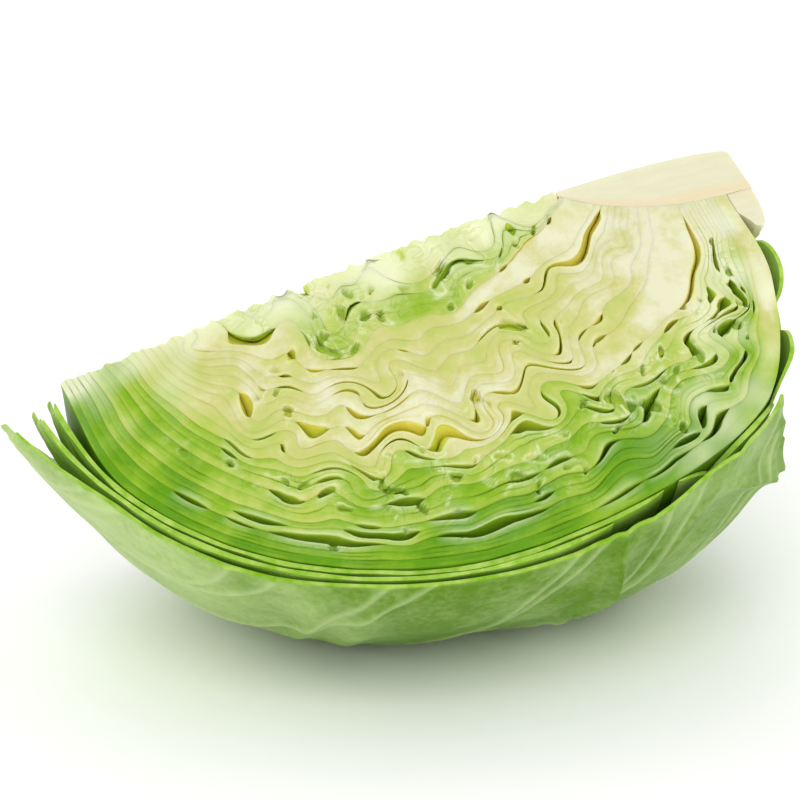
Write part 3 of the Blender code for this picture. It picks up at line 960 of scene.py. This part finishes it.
make_leaf(0, "heart_bud")
for number in range(1, len(LEAF_SHARES) + 1):
    make_leaf(number, f"leaf_{number:02d}")
print("leaves:", len(MADE), "with", sum(count for _, count in MADE), "triangles")


# %% [markdown]
# ## Core
#
# The core is the plant's stem inside the head: solid, fibrous and cream-white, with a peach line
# where the leaves join it. Its shape follows a rule, a blunt cone between two cuts, so Geometry
# Nodes make it: a cube's grid is bent, so that one axis runs along the ridge, one runs out from
# it and one turns about it. Numbers such as length and taper are the modifier's inputs.

# %% Geometry Nodes helpers
def new_modifier_tree(name, numbers):
    """A Geometry Nodes tree with a geometry input and one named input for each number."""
    tree = bpy.data.node_groups.new(name, "GeometryNodeTree")
    face = tree.interface
    face.new_socket("Geometry", in_out="INPUT", socket_type="NodeSocketGeometry")
    for key in numbers:
        face.new_socket(key, in_out="INPUT", socket_type="NodeSocketFloat")
    face.new_socket("Geometry", in_out="OUTPUT", socket_type="NodeSocketGeometry")
    return tree, Tree(tree)


def socket_identifier(tree, name):
    """The identifier of a tree's input, which a modifier knows it by."""
    return next(item.identifier for item in tree.interface.items_tree
                if item.name == name and item.in_out == "INPUT")


def finish_tree(words, geometry, material):
    """End a tree in Realize Instances and Set Material."""
    real = words.node("GeometryNodeRealizeInstances")
    words.link(geometry, real.inputs[0])
    painted = words.node("GeometryNodeSetMaterial")
    words.link(real.outputs[0], painted.inputs["Geometry"])
    painted.inputs["Material"].default_value = material
    words.link(painted.outputs[0], words.node("NodeGroupOutput").inputs[0])


def grown(name, base_mesh, tree, numbers):
    """Run a tree on a mesh and keep the result as a plain closed mesh."""
    base = add_object(name + "_base", base_mesh)
    modifier = base.modifiers.new("nodes", "NODES")
    modifier.node_group = tree
    for key, value in numbers.items():
        modifier[socket_identifier(tree, key)] = value
    view = bpy.context.evaluated_depsgraph_get()
    mesh = bpy.data.meshes.new_from_object(base.evaluated_get(view), depsgraph=view)
    base.modifiers.remove(modifier)
    bpy.data.objects.remove(base, do_unlink=True)
    mesh.name = name
    return mesh


print("Geometry Nodes helpers ready")

# %% Core flesh
PEACH = (0.800, 0.560, 0.270)
CORE_CREAM = (0.760, 0.740, 0.560)
CORE_SHADE = (0.660, 0.640, 0.430)


def core_flesh():
    """Fibrous cream flesh with a peach line near the outside of the core."""
    made, tree, shader = new_material("core_flesh", 0.46, 0.25)
    place_on = tree.object_place()
    fibres = tree.noise(tree.vector("MULTIPLY", place_on, (90.0, 700.0, 700.0)), 1.0, 4.0)
    clouds = tree.noise(place_on, 160.0, 3.0)
    flesh = tree.mix(fibres, CORE_SHADE, CORE_CREAM)
    out_share = tree.attribute("out_share")
    wander = tree.varied(out_share, clouds, 0.22)
    line = tree.ramp(wander, ((0.66, (0, 0, 0)), (0.90, (0.42,) * 3), (1.0, (0.22,) * 3)))
    flesh = tree.mix(line, flesh, PEACH)
    tree.link(flesh, shader.inputs["Base Color"])
    tree.bump(shader, fibres, 0.30, 0.3 * MM)
    return made


CORE_FLESH = core_flesh()
print("made", CORE_FLESH.name)

# %% Core
CORE_CUT_SHORT = RIDGE_CLEARANCE * 2.0
CORE_GRID = (70, 18, 30)
CORE_NUMBERS = {
    "Length": CORE_LENGTH, "Cut short": CORE_CUT_SHORT, "Radius": CORE_RADIUS,
    "Taper": CORE_TAPER, "First cut": CUT_BACK, "Last cut": CUT_FRONT, "Roughness": 0.05 * MM,
}


def core_tree():
    """Bend a cube's grid into the core."""
    tree, words = new_modifier_tree("bent_core", CORE_NUMBERS)
    given = words.node("NodeGroupInput").outputs
    cube = words.node("GeometryNodeMeshCube")
    for axis, count in zip("XYZ", CORE_GRID):
        cube.inputs["Vertices " + axis].default_value = count
    position = words.node("GeometryNodeInputPosition").outputs[0]
    parts = words.node("ShaderNodeSeparateXYZ")
    words.link(position, parts.inputs[0])
    along_share, out_share, turn_share = (
        words.math("ADD", parts.outputs[i], 0.5) for i in range(3))
    reach = words.math("SUBTRACT", given["Length"], given["Cut short"])
    along = words.math("MULTIPLY", along_share, reach)
    taper = words.math("POWER", words.math("DIVIDE", along, given["Length"]), given["Taper"])
    radius = words.math("MULTIPLY", given["Radius"], words.math("SUBTRACT", 1.0, taper))
    ridge = RIDGE_CLEARANCE * 0.1
    out = words.math("MULTIPLY_ADD", out_share, words.math("SUBTRACT", radius, ridge), ridge)
    span = words.math("SUBTRACT", given["Last cut"], given["First cut"])
    turn = words.math("MULTIPLY_ADD", turn_share, span, given["First cut"])
    share = words.math("DIVIDE", along, HEAD_LENGTH)
    hump = words.math("SINE", words.math("MULTIPLY", words.math("POWER", share, 0.6), math.pi))
    fade = words.math("EXPONENT", words.math("DIVIDE", out, -RIDGE_RISE_FADE))
    rise = words.math("MULTIPLY", words.math("MULTIPLY", hump, RIDGE_RISE), fade)
    total = words.vector("SCALE", tuple(ALONG), scale=along)
    down = words.math("MULTIPLY", words.math("COSINE", turn), out)
    forward = words.math("MULTIPLY", words.math("SINE", turn), out)
    for way, size in ((DOWN, down), (FORWARD, forward), (-FRONT, rise)):
        total = words.vector("ADD", total, words.vector("SCALE", tuple(way), scale=size))
    total = words.vector("ADD", total, tuple(STEM_END))
    bent = words.node("GeometryNodeSetPosition")
    words.link(total, bent.inputs["Position"])
    kept = words.stored(cube.outputs["Mesh"], "out_share", out_share)
    words.link(kept, bent.inputs["Geometry"])
    bumps = words.noise(words.node("GeometryNodeInputPosition").outputs[0], 420.0, 3.0)
    sink = words.math("MULTIPLY", words.math("MULTIPLY", bumps, given["Roughness"]), -1.0)
    normal = words.node("GeometryNodeInputNormal").outputs[0]
    rough = words.node("GeometryNodeSetPosition")
    words.link(bent.outputs[0], rough.inputs["Geometry"])
    words.link(words.vector("SCALE", normal, scale=sink), rough.inputs["Offset"])
    finish_tree(words, rough.outputs[0], CORE_FLESH)
    return tree


core = grown("core", bpy.data.meshes.new("core_start"), core_tree(), CORE_NUMBERS)
core_points = np.array([v.co for v in core.vertices])
core_faces = np.array([p.vertices[:] for p in core.polygons])
if volume(core_points - core_points.mean(0), core_faces) < 0.0:
    core.flip_normals()
finish_piece(core, "core", CORE_FLESH)
print("core:", len(core_points), "points, from", core_points.min(0).round(4))


# %% [markdown]
# ## Thin leaves
#
# The stub of an old leaf beside the stem, the loose outer leaves and the wrapper are all sheets:
# an inner and an outer grid, with a rim around them. The sheet helper closes any such pair.

# %% Sheet helper
def closed_sheet(inner, outer):
    """Points and faces of a closed sheet between two grids of points."""
    rows, columns = inner.shape[:2]
    index, faces = two_grids(rows, columns)
    edge = np.concatenate((index[:, 0], index[-1, 1:], index[-2::-1, -1], index[0, -2:0:-1]))
    follow = np.roll(edge, -1)
    faces.append(np.stack((follow, edge, edge + rows * columns, follow + rows * columns), 1))
    points = np.concatenate((outer.reshape(-1, 3), inner.reshape(-1, 3)))
    return points, np.concatenate(faces)


def crowded(count, first=0.0, last=1.0, ends=(0.001, 0.003, 0.008)):
    """Even shares from first to last, with a few more close to each end."""
    ends = np.array(ends)
    middle = np.linspace(ends[-1] * 2.0, 1.0 - ends[-1] * 2.0, count)
    return first + (last - first) * np.concatenate(([0.0], ends, middle, 1.0 - ends[::-1], [1.0]))


print("sheet helper ready")

# %% Stub of an old leaf
STUB_REACH = 0.0105
STUB_THICKNESS = 0.0036
STUB_CURL = 0.35
STUB_TAPER = 0.8
STUB_ROOT = 4.5 * MM
STUB_CLEARANCE = 0.12 * MM
STUB_GRID = (46, 60)


def make_stub():
    """The curled stub, thick at the stem and rounded at its end."""
    share = 1.0 - (1.0 - np.linspace(0.0, 1.0, STUB_GRID[0])) ** 1.6
    turn_share = crowded(STUB_GRID[1])
    share, turn_share = np.meshgrid(share, turn_share, indexing="ij")
    turn = CUT_BACK + (CUT_FRONT - CUT_BACK) * turn_share
    wave = noise(waves(41, 5 * MM, 16 * MM), turn * 0.012, share * 0.004)
    seat = core_radius(STUB_THICKNESS * 0.5) + CORE_JOINT
    out = seat + STUB_REACH * share * (1.0 - 0.10 * np.abs(wave))
    half = STUB_THICKNESS * 0.5 * np.sqrt(1.0 - STUB_TAPER * share ** 3)
    half = half * (1.0 - 0.85 * ease(share, 0.90, 1.0)) * (1.0 - 0.12 * np.abs(wave))
    middle = STUB_THICKNESS * (0.5 + STUB_CURL * share ** 2) + LEAF_GAP
    skin = layer(1.0, np.linspace(0.0, 0.2, 80))
    room = np.interp(out, skin[:, 1], skin[:, 0]) - STUB_CLEARANCE
    low = middle + half + STUB_ROOT * (1.0 - ease(share, 0.0, 1.0))
    outer = place(middle - half, out, turn)
    inner = place(np.minimum(low, np.maximum(room, middle + half)), out, turn)
    points, faces = closed_sheet(inner, outer)
    both, turns = twice(share), twice(turn_share)
    add_piece("stem_stub", points, faces, CORE_FLESH, {
        "out_share": 0.82 - 0.55 * both, "green": 0.30 * both,
        "grain": np.stack((both * 3.0, turns * 40.0, both * 0.0), -1)})


make_stub()
print("stub reaches", STUB_REACH, "m from the core")

# %% [markdown]
# ## Loose outer leaves
#
# Two leaves hug the underside and fan out past the tip, and one covers the stem side. They are
# full green, with a bright cut edge and thin rounded ends.

# %% Outer leaf skin
SKIN_GREEN = (0.190, 0.400, 0.020)
SKIN_PALE = (0.430, 0.620, 0.140)
CUT_EDGE = (0.190, 0.420, 0.003)
EDGE_PALE = (0.430, 0.610, 0.120)
VEIN_WHITE = (0.560, 0.690, 0.330)


def leaf_skin(name, dark, pale, vein_strength):
    """Skin of a loose leaf: clouds of green, pale veins and a bright cut edge."""
    made, tree, shader = new_material(name, 0.40, 0.18)
    place_on = tree.object_place()
    clouds = tree.noise(place_on, 55.0, 4.0)
    specks = tree.noise(place_on, 700.0, 3.0)
    tone = tree.math("ADD", tree.varied(clouds, specks, 0.35), tree.attribute("light"))
    skin = tree.ramp(tone, ((0.25, dark), (0.85, pale)))
    net = tree.node("ShaderNodeTexVoronoi", feature="DISTANCE_TO_EDGE")
    tree.put(place_on, net.inputs["Vector"])
    net.inputs["Scale"].default_value = 210.0
    fine = tree.math("SUBTRACT", 1.0, tree.math("MULTIPLY", net.outputs["Distance"], 9.0))
    fine = tree.math("MULTIPLY", tree.math("MAXIMUM", fine, 0.0), 0.05)
    vein = tree.math("MAXIMUM", fine, tree.math("MULTIPLY", tree.attribute("vein"), vein_strength))
    skin = tree.mix(vein, skin, VEIN_WHITE)
    along_edge = tree.noise(place_on, 320.0, 4.0)
    edge_skin = tree.ramp(along_edge, ((0.30, CUT_EDGE), (0.72, EDGE_PALE)))
    skin = tree.mix(tree.attribute("edge"), skin, edge_skin)
    tree.link(skin, shader.inputs["Base Color"])
    tree.bump(shader, tree.math("ADD", fine, tree.math("MULTIPLY", specks, 0.4)), 0.35, 0.3 * MM)
    return made


OUTER_SKIN = leaf_skin("outer_leaf_skin", SKIN_GREEN, SKIN_PALE, 0.6)
WRAPPER_DARK = (0.110, 0.245, 0.003)
WRAPPER_PALE = (0.450, 0.600, 0.215)
WRAPPER_SKIN = leaf_skin("wrapper_leaf_skin", WRAPPER_DARK, WRAPPER_PALE, 0.45)
print("made", OUTER_SKIN.name, "and", WRAPPER_SKIN.name)

# %% Outer leaves
OUTER_THICKNESS = 0.0012
TIP_FAN = 0.0098
TIP_FAN_FROM = 0.84
STACK = OUTER_THICKNESS + LEAF_GAP
SECOND = LEAF_GAP + STACK
OUTER_LEAVES = (
    (0.411, 0.985, ((0.42, LEAF_GAP), (TIP_FAN_FROM, LEAF_GAP), (1.0, TIP_FAN * 0.30))),
    (0.46, 0.978, ((0.46, SECOND), (TIP_FAN_FROM, SECOND), (1.0, TIP_FAN * 0.72))),
    (0.06, 0.409, ((0.06, LEAF_GAP * 2.0), (0.20, LEAF_GAP * 2.0), (0.40, LEAF_GAP))),
)
# Lobes of the stem-side leaf that reach the front cut: middle and half width in t.
LOBES = ((0.115, 0.042), (0.225, 0.034), (0.318, 0.050), (0.400, 0.040))
LOBE_RECESS = math.radians(7.0)
LOBE_LIFT = 1.6 * MM
END_WAVES = waves(51, 16 * MM, 50 * MM)
RIPPLE_WAVES = waves(52, 8 * MM, 26 * MM)


def sheet_offset(points, t):
    """Offset of a loose leaf from the skin at t, read from (t, offset) points."""
    total = np.full_like(t, points[-1][1])
    for (t0, off0), (t1, off1) in reversed(list(zip(points, points[1:]))):
        total = np.where(t <= t1, off0 + (off1 - off0) * ease(t, t0, t1), total)
    return total


def sheet_places(first, last, rows, columns, uneven):
    """Station and turn of each point of a loose leaf's grid, with an uneven end."""
    share = np.linspace(0.0, 1.0, rows)
    turn_share = crowded(columns)
    share, turn_share = np.meshgrid(share, turn_share, indexing="ij")
    turn = CUT_BACK + (CUT_FRONT - CUT_BACK) * turn_share
    end = last - uneven * (0.5 + 0.5 * np.clip(noise(END_WAVES, turn * 0.06, first), -1, 1))
    return first + (end - first) * share, turn, share, turn_share


def rounded_end(share, width=0.03):
    """Thickness share that falls to nearly nothing at the free end of a leaf."""
    return np.sqrt(np.clip(1.0 - np.clip((share - 1.0 + width) / width, 0.0, 1.0) ** 2, 0.01, 1.0))


def lobes(t):
    """1 in the middle of each lobe of the stem-side leaf, 0 between them."""
    parts = [np.clip(1.0 - ((t - centre) / half) ** 2, 0.0, 1.0) ** 0.5 for centre, half in LOBES]
    return np.maximum.reduce(parts)


def front_recess(number, t):
    """How far, as a turn, the front edge stops short of the cut."""
    ragged = math.radians(0.5) * (0.5 + 0.5 * np.clip(noise(RIPPLE_WAVES, t * 0.2, number), -1, 1))
    return ragged + (LOBE_RECESS * (1.0 - lobes(t)) if number == 3 else 0.0)


def make_outer_leaf(number, first, last, offsets):
    """One loose leaf on the skin of the head."""
    rows = int((last - first) * 360)
    t, turn, share, turn_share = sheet_places(first, last, rows, 110, 0.012)
    turn = turn - front_recess(number, t) * ease(turn_share, 0.55, 1.0)
    near = sheet_offset(offsets, t)
    if number == 3:
        lifted = lobes(t) * (1.0 - ease(t, 0.22, 0.27)) * ease(turn_share, 0.62, 1.0)
        near = near + LOBE_LIFT * lifted
    thin = 0.80 + 0.20 * noise(RIPPLE_WAVES, t * 0.2, turn * 0.06, number)
    starts = rounded_end(1.0 - share, 0.12 if number < 3 else 0.02)
    ends = rounded_end(share, 0.10 if number == 3 else 0.03) * starts
    thick = OUTER_THICKNESS * np.clip(thin, 0.5, 1.0) * ends
    base, normal = layer(1.0, t), outward(1.0, t)
    inner_line = base + normal * near[..., None]
    outer_line = base + normal * (near + thick)[..., None]
    inner = place(inner_line[..., 0], inner_line[..., 1], turn)
    outer = place(outer_line[..., 0], outer_line[..., 1], turn)
    points, faces = closed_sheet(inner, outer)
    from_cut = np.minimum(turn_share, 1.0 - turn_share)
    edge = np.exp(-(from_cut / 0.004) ** 2)
    light = 0.30 * ease(share, 0.86, 1.0) - 0.05 + (0.30 if number == 3 else 0.0)
    add_piece(f"outer_leaf_{number}", points, faces, OUTER_SKIN, {
        "edge": twice(edge), "light": twice(light), "vein": twice(np.zeros_like(edge))})


for number, (first, last, offsets) in enumerate(OUTER_LEAVES, start=1):
    make_outer_leaf(number, first, last, offsets)
print("made", len(OUTER_LEAVES), "loose leaves")

# %% [markdown]
# ## Wrapper leaf
#
# The wedge lies on its wrapper leaf. The blade is thin and folded, stands off the head on the
# stem side, and is pressed flat where it carries the weight. Its veins are round cords of tougher
# flesh that stand proud underneath. They follow the blade, so Geometry Nodes raise them: the
# nearer a point is to a vein's line, the further it moves out, and the paler it becomes.

# %% Wrapper leaf shape
WRAPPER_THICKNESS = 0.0013
MIDRIB_THICKNESS = 0.0024
MIDRIB_HALF_ANGLE = math.radians(26.0)
MIDRIB_TURN = math.radians(6.0)
MIDRIB_FADE = (0.72, 0.95)
STEM_SIDE_STAND_OFF = 0.0078
STAND_OFF_RISE = (0.16, 0.36)
STAND_OFF_FALL = (0.40, 0.56)
STAND_OFF_TURN = (math.radians(9.0), math.radians(43.0))
STAND_OFF_EDGE = 0.15
FLOOR_WALL = 0.0012
WRAPPER_BASE = LEAF_GAP + STACK * 2.0
WRAPPER_SPAN = (0.27, 0.97)
WRAPPER_GRID = (250, 150)
FOLD_FINE = waves(61, 10 * MM, 26 * MM)
FOLD_BROAD = waves(62, 26 * MM, 70 * MM)
PLEAT_AT = 0.452
PLEAT_LEAN = 0.030
PLEAT_WIDTH = 0.0065
PLEAT_HEIGHT = 3.6 * MM
FLAP_HEIGHT = 3.2 * MM
FLAP_AT = 0.385
FLAP_LEAN = 0.28
FLAP_WIDTH = 0.012
TUCK_AT = (0.640, 0.676)
TUCK_WIDTHS = (0.013, 0.010)
TUCK_HEIGHT = 1.7 * MM
STEM_SIDE_CLOSER = 2.2 * MM
EDGE_THIN = 0.5
WRAPPER_EDGE_DROP = math.radians(1.6)


def wrapper_offset(t, turn):
    """Offset of the wrapper's inner face from the skin, before it is folded."""
    tip = (TIP_FAN + LEAF_GAP) * ease(t, TIP_FAN_FROM, 1.0)
    stem_side = STEM_SIDE_STAND_OFF * (ease(t, *STAND_OFF_RISE) - ease(t, *STAND_OFF_FALL))
    under = 1.0 - (1.0 - STAND_OFF_EDGE) * ease(np.abs(turn - MIDRIB_TURN), *STAND_OFF_TURN)
    return WRAPPER_BASE + tip + np.maximum(stem_side, 0.0) * under


def wrapper_thickness(t, turn):
    """Thin blade, thick midrib underneath."""
    across = np.maximum(0.0, 1.0 - (np.abs(turn - MIDRIB_TURN) / MIDRIB_HALF_ANGLE) ** 2)
    return WRAPPER_THICKNESS + MIDRIB_THICKNESS * across * (1.0 - ease(t, *MIDRIB_FADE))


def front_share(turn):
    """1 at the front cut, falling to 0 a third of the way round."""
    return 1.0 - ease(CUT_FRONT - turn, 0.0, 0.5)


def wrapper_folds(t, turn):
    """Crumples, a pleat, two tucks and a flap, less the pull towards the head at the front."""
    length, width = t * 0.20, turn * 0.07
    fine = 1.0 - np.abs(noise(FOLD_FINE, length + width * 0.6, width * 0.4))
    broad = 0.5 + 0.5 * noise(FOLD_BROAD, length, width)
    side = ease(np.abs(turn - MIDRIB_TURN), math.radians(14.0), math.radians(40.0))
    stem_side = 1.0 - ease(t, 0.40, 0.56)
    folds = (0.4 + 2.0 * stem_side) * MM * np.clip(fine, 0.0, 1.0) ** 2 + 0.8 * MM * broad
    from_edge = CUT_FRONT - turn
    line = PLEAT_AT + PLEAT_LEAN * ease(from_edge, 0.0, 0.6)
    line = line + 0.004 * np.sin(from_edge * 16.0)
    x = (t - line) / PLEAT_WIDTH
    pleat = np.exp(-np.abs(x) ** 1.3) + 0.35 * np.exp(-((x - 2.2) / 0.7) ** 2)
    reach = (1.0 - ease(from_edge, 0.25, 0.75)) * (0.22 + 0.78 * ease(from_edge, 0.0, 0.20))
    tuck = sum(np.exp(-((t - at) / width) ** 2) for at, width in zip(TUCK_AT, TUCK_WIDTHS))
    tuck = tuck * ease(from_edge, 0.02, 0.20) * (1.0 - ease(from_edge, 0.45, 0.75))
    closer = 1.0 - 0.5 * (ease(t, 0.37, 0.42) + ease(t, 0.455, 0.50))
    closer = STEM_SIDE_CLOSER * closer * front_share(turn)
    flap = (t - FLAP_AT + FLAP_LEAN * from_edge) / FLAP_WIDTH
    crest = FLAP_HEIGHT * np.exp(-np.abs(flap) ** 1.2) * ease(from_edge, 0.06, 0.20)
    crest = crest * (1.0 - ease(from_edge, 0.34, 0.50))
    folds = folds * side * (0.30 + 0.70 * ease(from_edge, 0.0, 0.35))
    return folds + PLEAT_HEIGHT * pleat * reach + TUCK_HEIGHT * tuck + crest - closer


def wrapper_places(t, turn):
    """Inner and outer points of the wrapper, flat underneath."""
    base, normal = layer(1.0, t), outward(1.0, t)
    near = wrapper_offset(t, turn) + wrapper_folds(t, turn)
    share = (t - WRAPPER_SPAN[0]) / (WRAPPER_SPAN[1] - WRAPPER_SPAN[0])
    thin = 1.0 - EDGE_THIN * (1.0 - ease(CUT_FRONT - turn, 0.01, 0.08))
    thick = wrapper_thickness(t, turn) * rounded_end(share, 0.02) * thin
    lines = base + normal * near[..., None], base + normal * (near + thick)[..., None]
    inner, outer = (place(line[..., 0], line[..., 1], turn) for line in lines)
    inner[..., 2] = np.maximum(inner[..., 2], FLOOR_WALL)
    outer[..., 2] = np.maximum(outer[..., 2], 0.0)
    return inner, outer


print("wrapper spans", WRAPPER_SPAN)

# %% Vein lines
VEIN_COUNT = 6
VEIN_LEAN = 0.20
VEIN_POINTS = 40


def vein_lines():
    """Lines of the midrib and its side veins, as (t, turn) arrays."""
    dice = np.random.default_rng(71)
    lines = [(np.linspace(0.28, 0.93, 90), np.full(90, MIDRIB_TURN))]
    for side in (1.0, -1.0):
        reach = (CUT_FRONT - MIDRIB_TURN) if side > 0 else (MIDRIB_TURN - CUT_BACK)
        for start in np.linspace(0.44, 1.02, VEIN_COUNT):
            share = np.linspace(0.0, 1.0, VEIN_POINTS)
            lean = VEIN_LEAN * dice.uniform(0.75, 1.2) * reach
            sway = 0.010 * np.sin(share * dice.uniform(4.0, 8.0) + dice.uniform(0.0, 6.0))
            t = start + dice.uniform(-0.012, 0.012) - lean * share ** 0.8 + sway
            turn = MIDRIB_TURN + side * reach * share
            lines.append((t, turn))
            fork = int(VEIN_POINTS * dice.uniform(0.35, 0.6))
            tail = share[fork:] - share[fork]
            spread = dice.choice((-1.0, 1.0)) * dice.uniform(0.05, 0.10)
            lines.append((t[fork:] + spread * tail, turn[fork:]))
    return [(t[keep], turn[keep]) for t, turn in lines
            for keep in [(t > WRAPPER_SPAN[0] + 0.01) & (t < WRAPPER_SPAN[1] - 0.01)]
            if keep.sum() > 3]


def vein_object():
    """An edges-only mesh along the veins, on the outside of the wrapper."""
    points, edges = [], []
    for t, turn in vein_lines():
        start = len(points)
        points += [tuple(p) for p in wrapper_places(t, turn)[1]]
        edges += [(i, i + 1) for i in range(start, len(points) - 1)]
    mesh = bpy.data.meshes.new("vein_lines")
    mesh.from_pydata(points, edges, [])
    return add_object("vein_lines", mesh)


print("vein lines:", len(vein_lines()))

# %% Raise the veins
VEIN_NUMBERS = {"Height": 0.45 * MM, "Spread": 1.0}


def vein_tree():
    """Move points near a vein outwards and remember how near they are."""
    tree, words = new_modifier_tree("raised_veins", VEIN_NUMBERS)
    tree.interface.new_socket("Veins", in_out="INPUT", socket_type="NodeSocketObject")
    given = words.node("NodeGroupInput").outputs
    lines = words.node("GeometryNodeObjectInfo", transform_space="RELATIVE")
    words.link(given["Veins"], lines.inputs["Object"])
    near = words.node("GeometryNodeProximity", target_element="EDGES")
    words.link(lines.outputs["Geometry"], near.inputs[0])
    width = words.math("MULTIPLY", words.named("reach"), given["Spread"])
    share = words.math("DIVIDE", near.outputs["Distance"], width)
    vein = words.math("EXPONENT", words.math("MULTIPLY", words.math("POWER", share, 2.0), -1.0))
    vein = words.math("MULTIPLY", vein, words.named("outside"))
    lift = words.math("MULTIPLY", vein, given["Height"])
    normal = words.node("GeometryNodeInputNormal").outputs[0]
    place_now = words.node("GeometryNodeInputPosition").outputs[0]
    moved = words.vector("ADD", place_now, words.vector("SCALE", normal, scale=lift))
    above = words.vector("MAXIMUM", moved, (-1.0, -1.0, 0.0))
    raised = words.node("GeometryNodeSetPosition")
    words.link(words.stored(given["Geometry"], "vein", vein), raised.inputs["Geometry"])
    words.link(above, raised.inputs["Position"])
    finish_tree(words, raised.outputs[0], WRAPPER_SKIN)
    return tree


def wrapper_mesh():
    """The folded blade as a closed mesh, with the attributes that its finish needs."""
    t, turn, _, turn_share = sheet_places(*WRAPPER_SPAN, *WRAPPER_GRID, 0.010)
    drop = 0.5 + 0.5 * np.clip(noise(END_WAVES, t * 0.2, 0.3), -1.0, 1.0)
    turn = turn - WRAPPER_EDGE_DROP * drop * ease(turn_share, 0.7, 1.0)
    inner, outer = wrapper_places(t, turn)
    points, faces = closed_sheet(inner, outer)
    mesh = bpy.data.meshes.new("wrapper_start")
    mesh.from_pydata(points.tolist(), [], turned_out(points, faces).tolist())
    from_cut = np.minimum(turn_share, 1.0 - turn_share)
    from_rib = np.abs(turn - MIDRIB_TURN)
    pale = 0.06 + 0.50 * ease(t, 0.58, 0.82) - 0.10 * ease(t, 0.44, 0.52)
    put_attributes(mesh, {
        "edge": twice(np.exp(-(from_cut / 0.005) ** 2)),
        "light": twice(pale - 0.16, pale),
        "reach": twice(1.7 * MM - 0.9 * MM * ease(from_rib, 0.0, 0.7)),
        "outside": twice(np.ones_like(t), np.zeros_like(t)),
    })
    return mesh


veins = vein_object()
wrapper = grown("wrapper_leaf", wrapper_mesh(), vein_tree(), {**VEIN_NUMBERS, "Veins": veins})
bpy.data.objects.remove(veins, do_unlink=True)
finish_piece(wrapper, "wrapper_leaf", WRAPPER_SKIN)
print("wrapper:", len(wrapper.polygons), "faces")


# %% Floor, light and finish
FLOOR_WHITE = 0.98
FLOOR_ROUGHNESS = 0.9
FLOOR_HALF = 3
WORLD_LIGHT = 0.84

floor_mesh = bpy.data.meshes.new("floor")
floor_corners = [(x * FLOOR_HALF, y * FLOOR_HALF, 0) for x, y in ((-1, -1), (1, -1), (1, 1), (-1, 1))]
floor_mesh.from_pydata(floor_corners, [], [(0, 1, 2, 3)])
floor = add_object("floor", floor_mesh)
floor_paint = bpy.data.materials.new("floor_paint")
floor_paint.use_nodes = True
floor_shader = floor_paint.node_tree.nodes["Principled BSDF"]
floor_shader.inputs["Base Color"].default_value = (*(FLOOR_WHITE,) * 3, 1.0)
floor_shader.inputs["Roughness"].default_value = FLOOR_ROUGHNESS
floor_mesh.materials.append(floor_paint)


def area_light(name, position, size, power):
    """A large soft lamp that looks at the middle of the head."""
    lamp = bpy.data.lights.new(name, "AREA")
    lamp.size = size
    lamp.energy = power
    made = add_object(name, lamp)
    made.location = position
    middle = STEM_END + ALONG * HEAD_LENGTH * 0.5 + DOWN * 0.04
    made.rotation_mode = "QUATERNION"
    made.rotation_quaternion = Vector(middle - np.array(position)).to_track_quat("-Z", "Y")


area_light("key_light", (-0.5, -0.9, 1.2), 1.0, 8.0)
area_light("fill_light", (1.0, -0.8, 0.5), 1.4, 2.0)
area_light("back_light", (0.2, 1.0, 1.0), 1.2, 3.0)
world = bpy.data.worlds.new("studio")
world.use_nodes = True
background = world.node_tree.nodes["Background"].inputs
background["Color"].default_value = (1.0, 1.0, 1.0, 1.0)
background["Strength"].default_value = WORLD_LIGHT
bpy.context.scene.world = world
bpy.context.scene.view_settings.view_transform = "Standard"
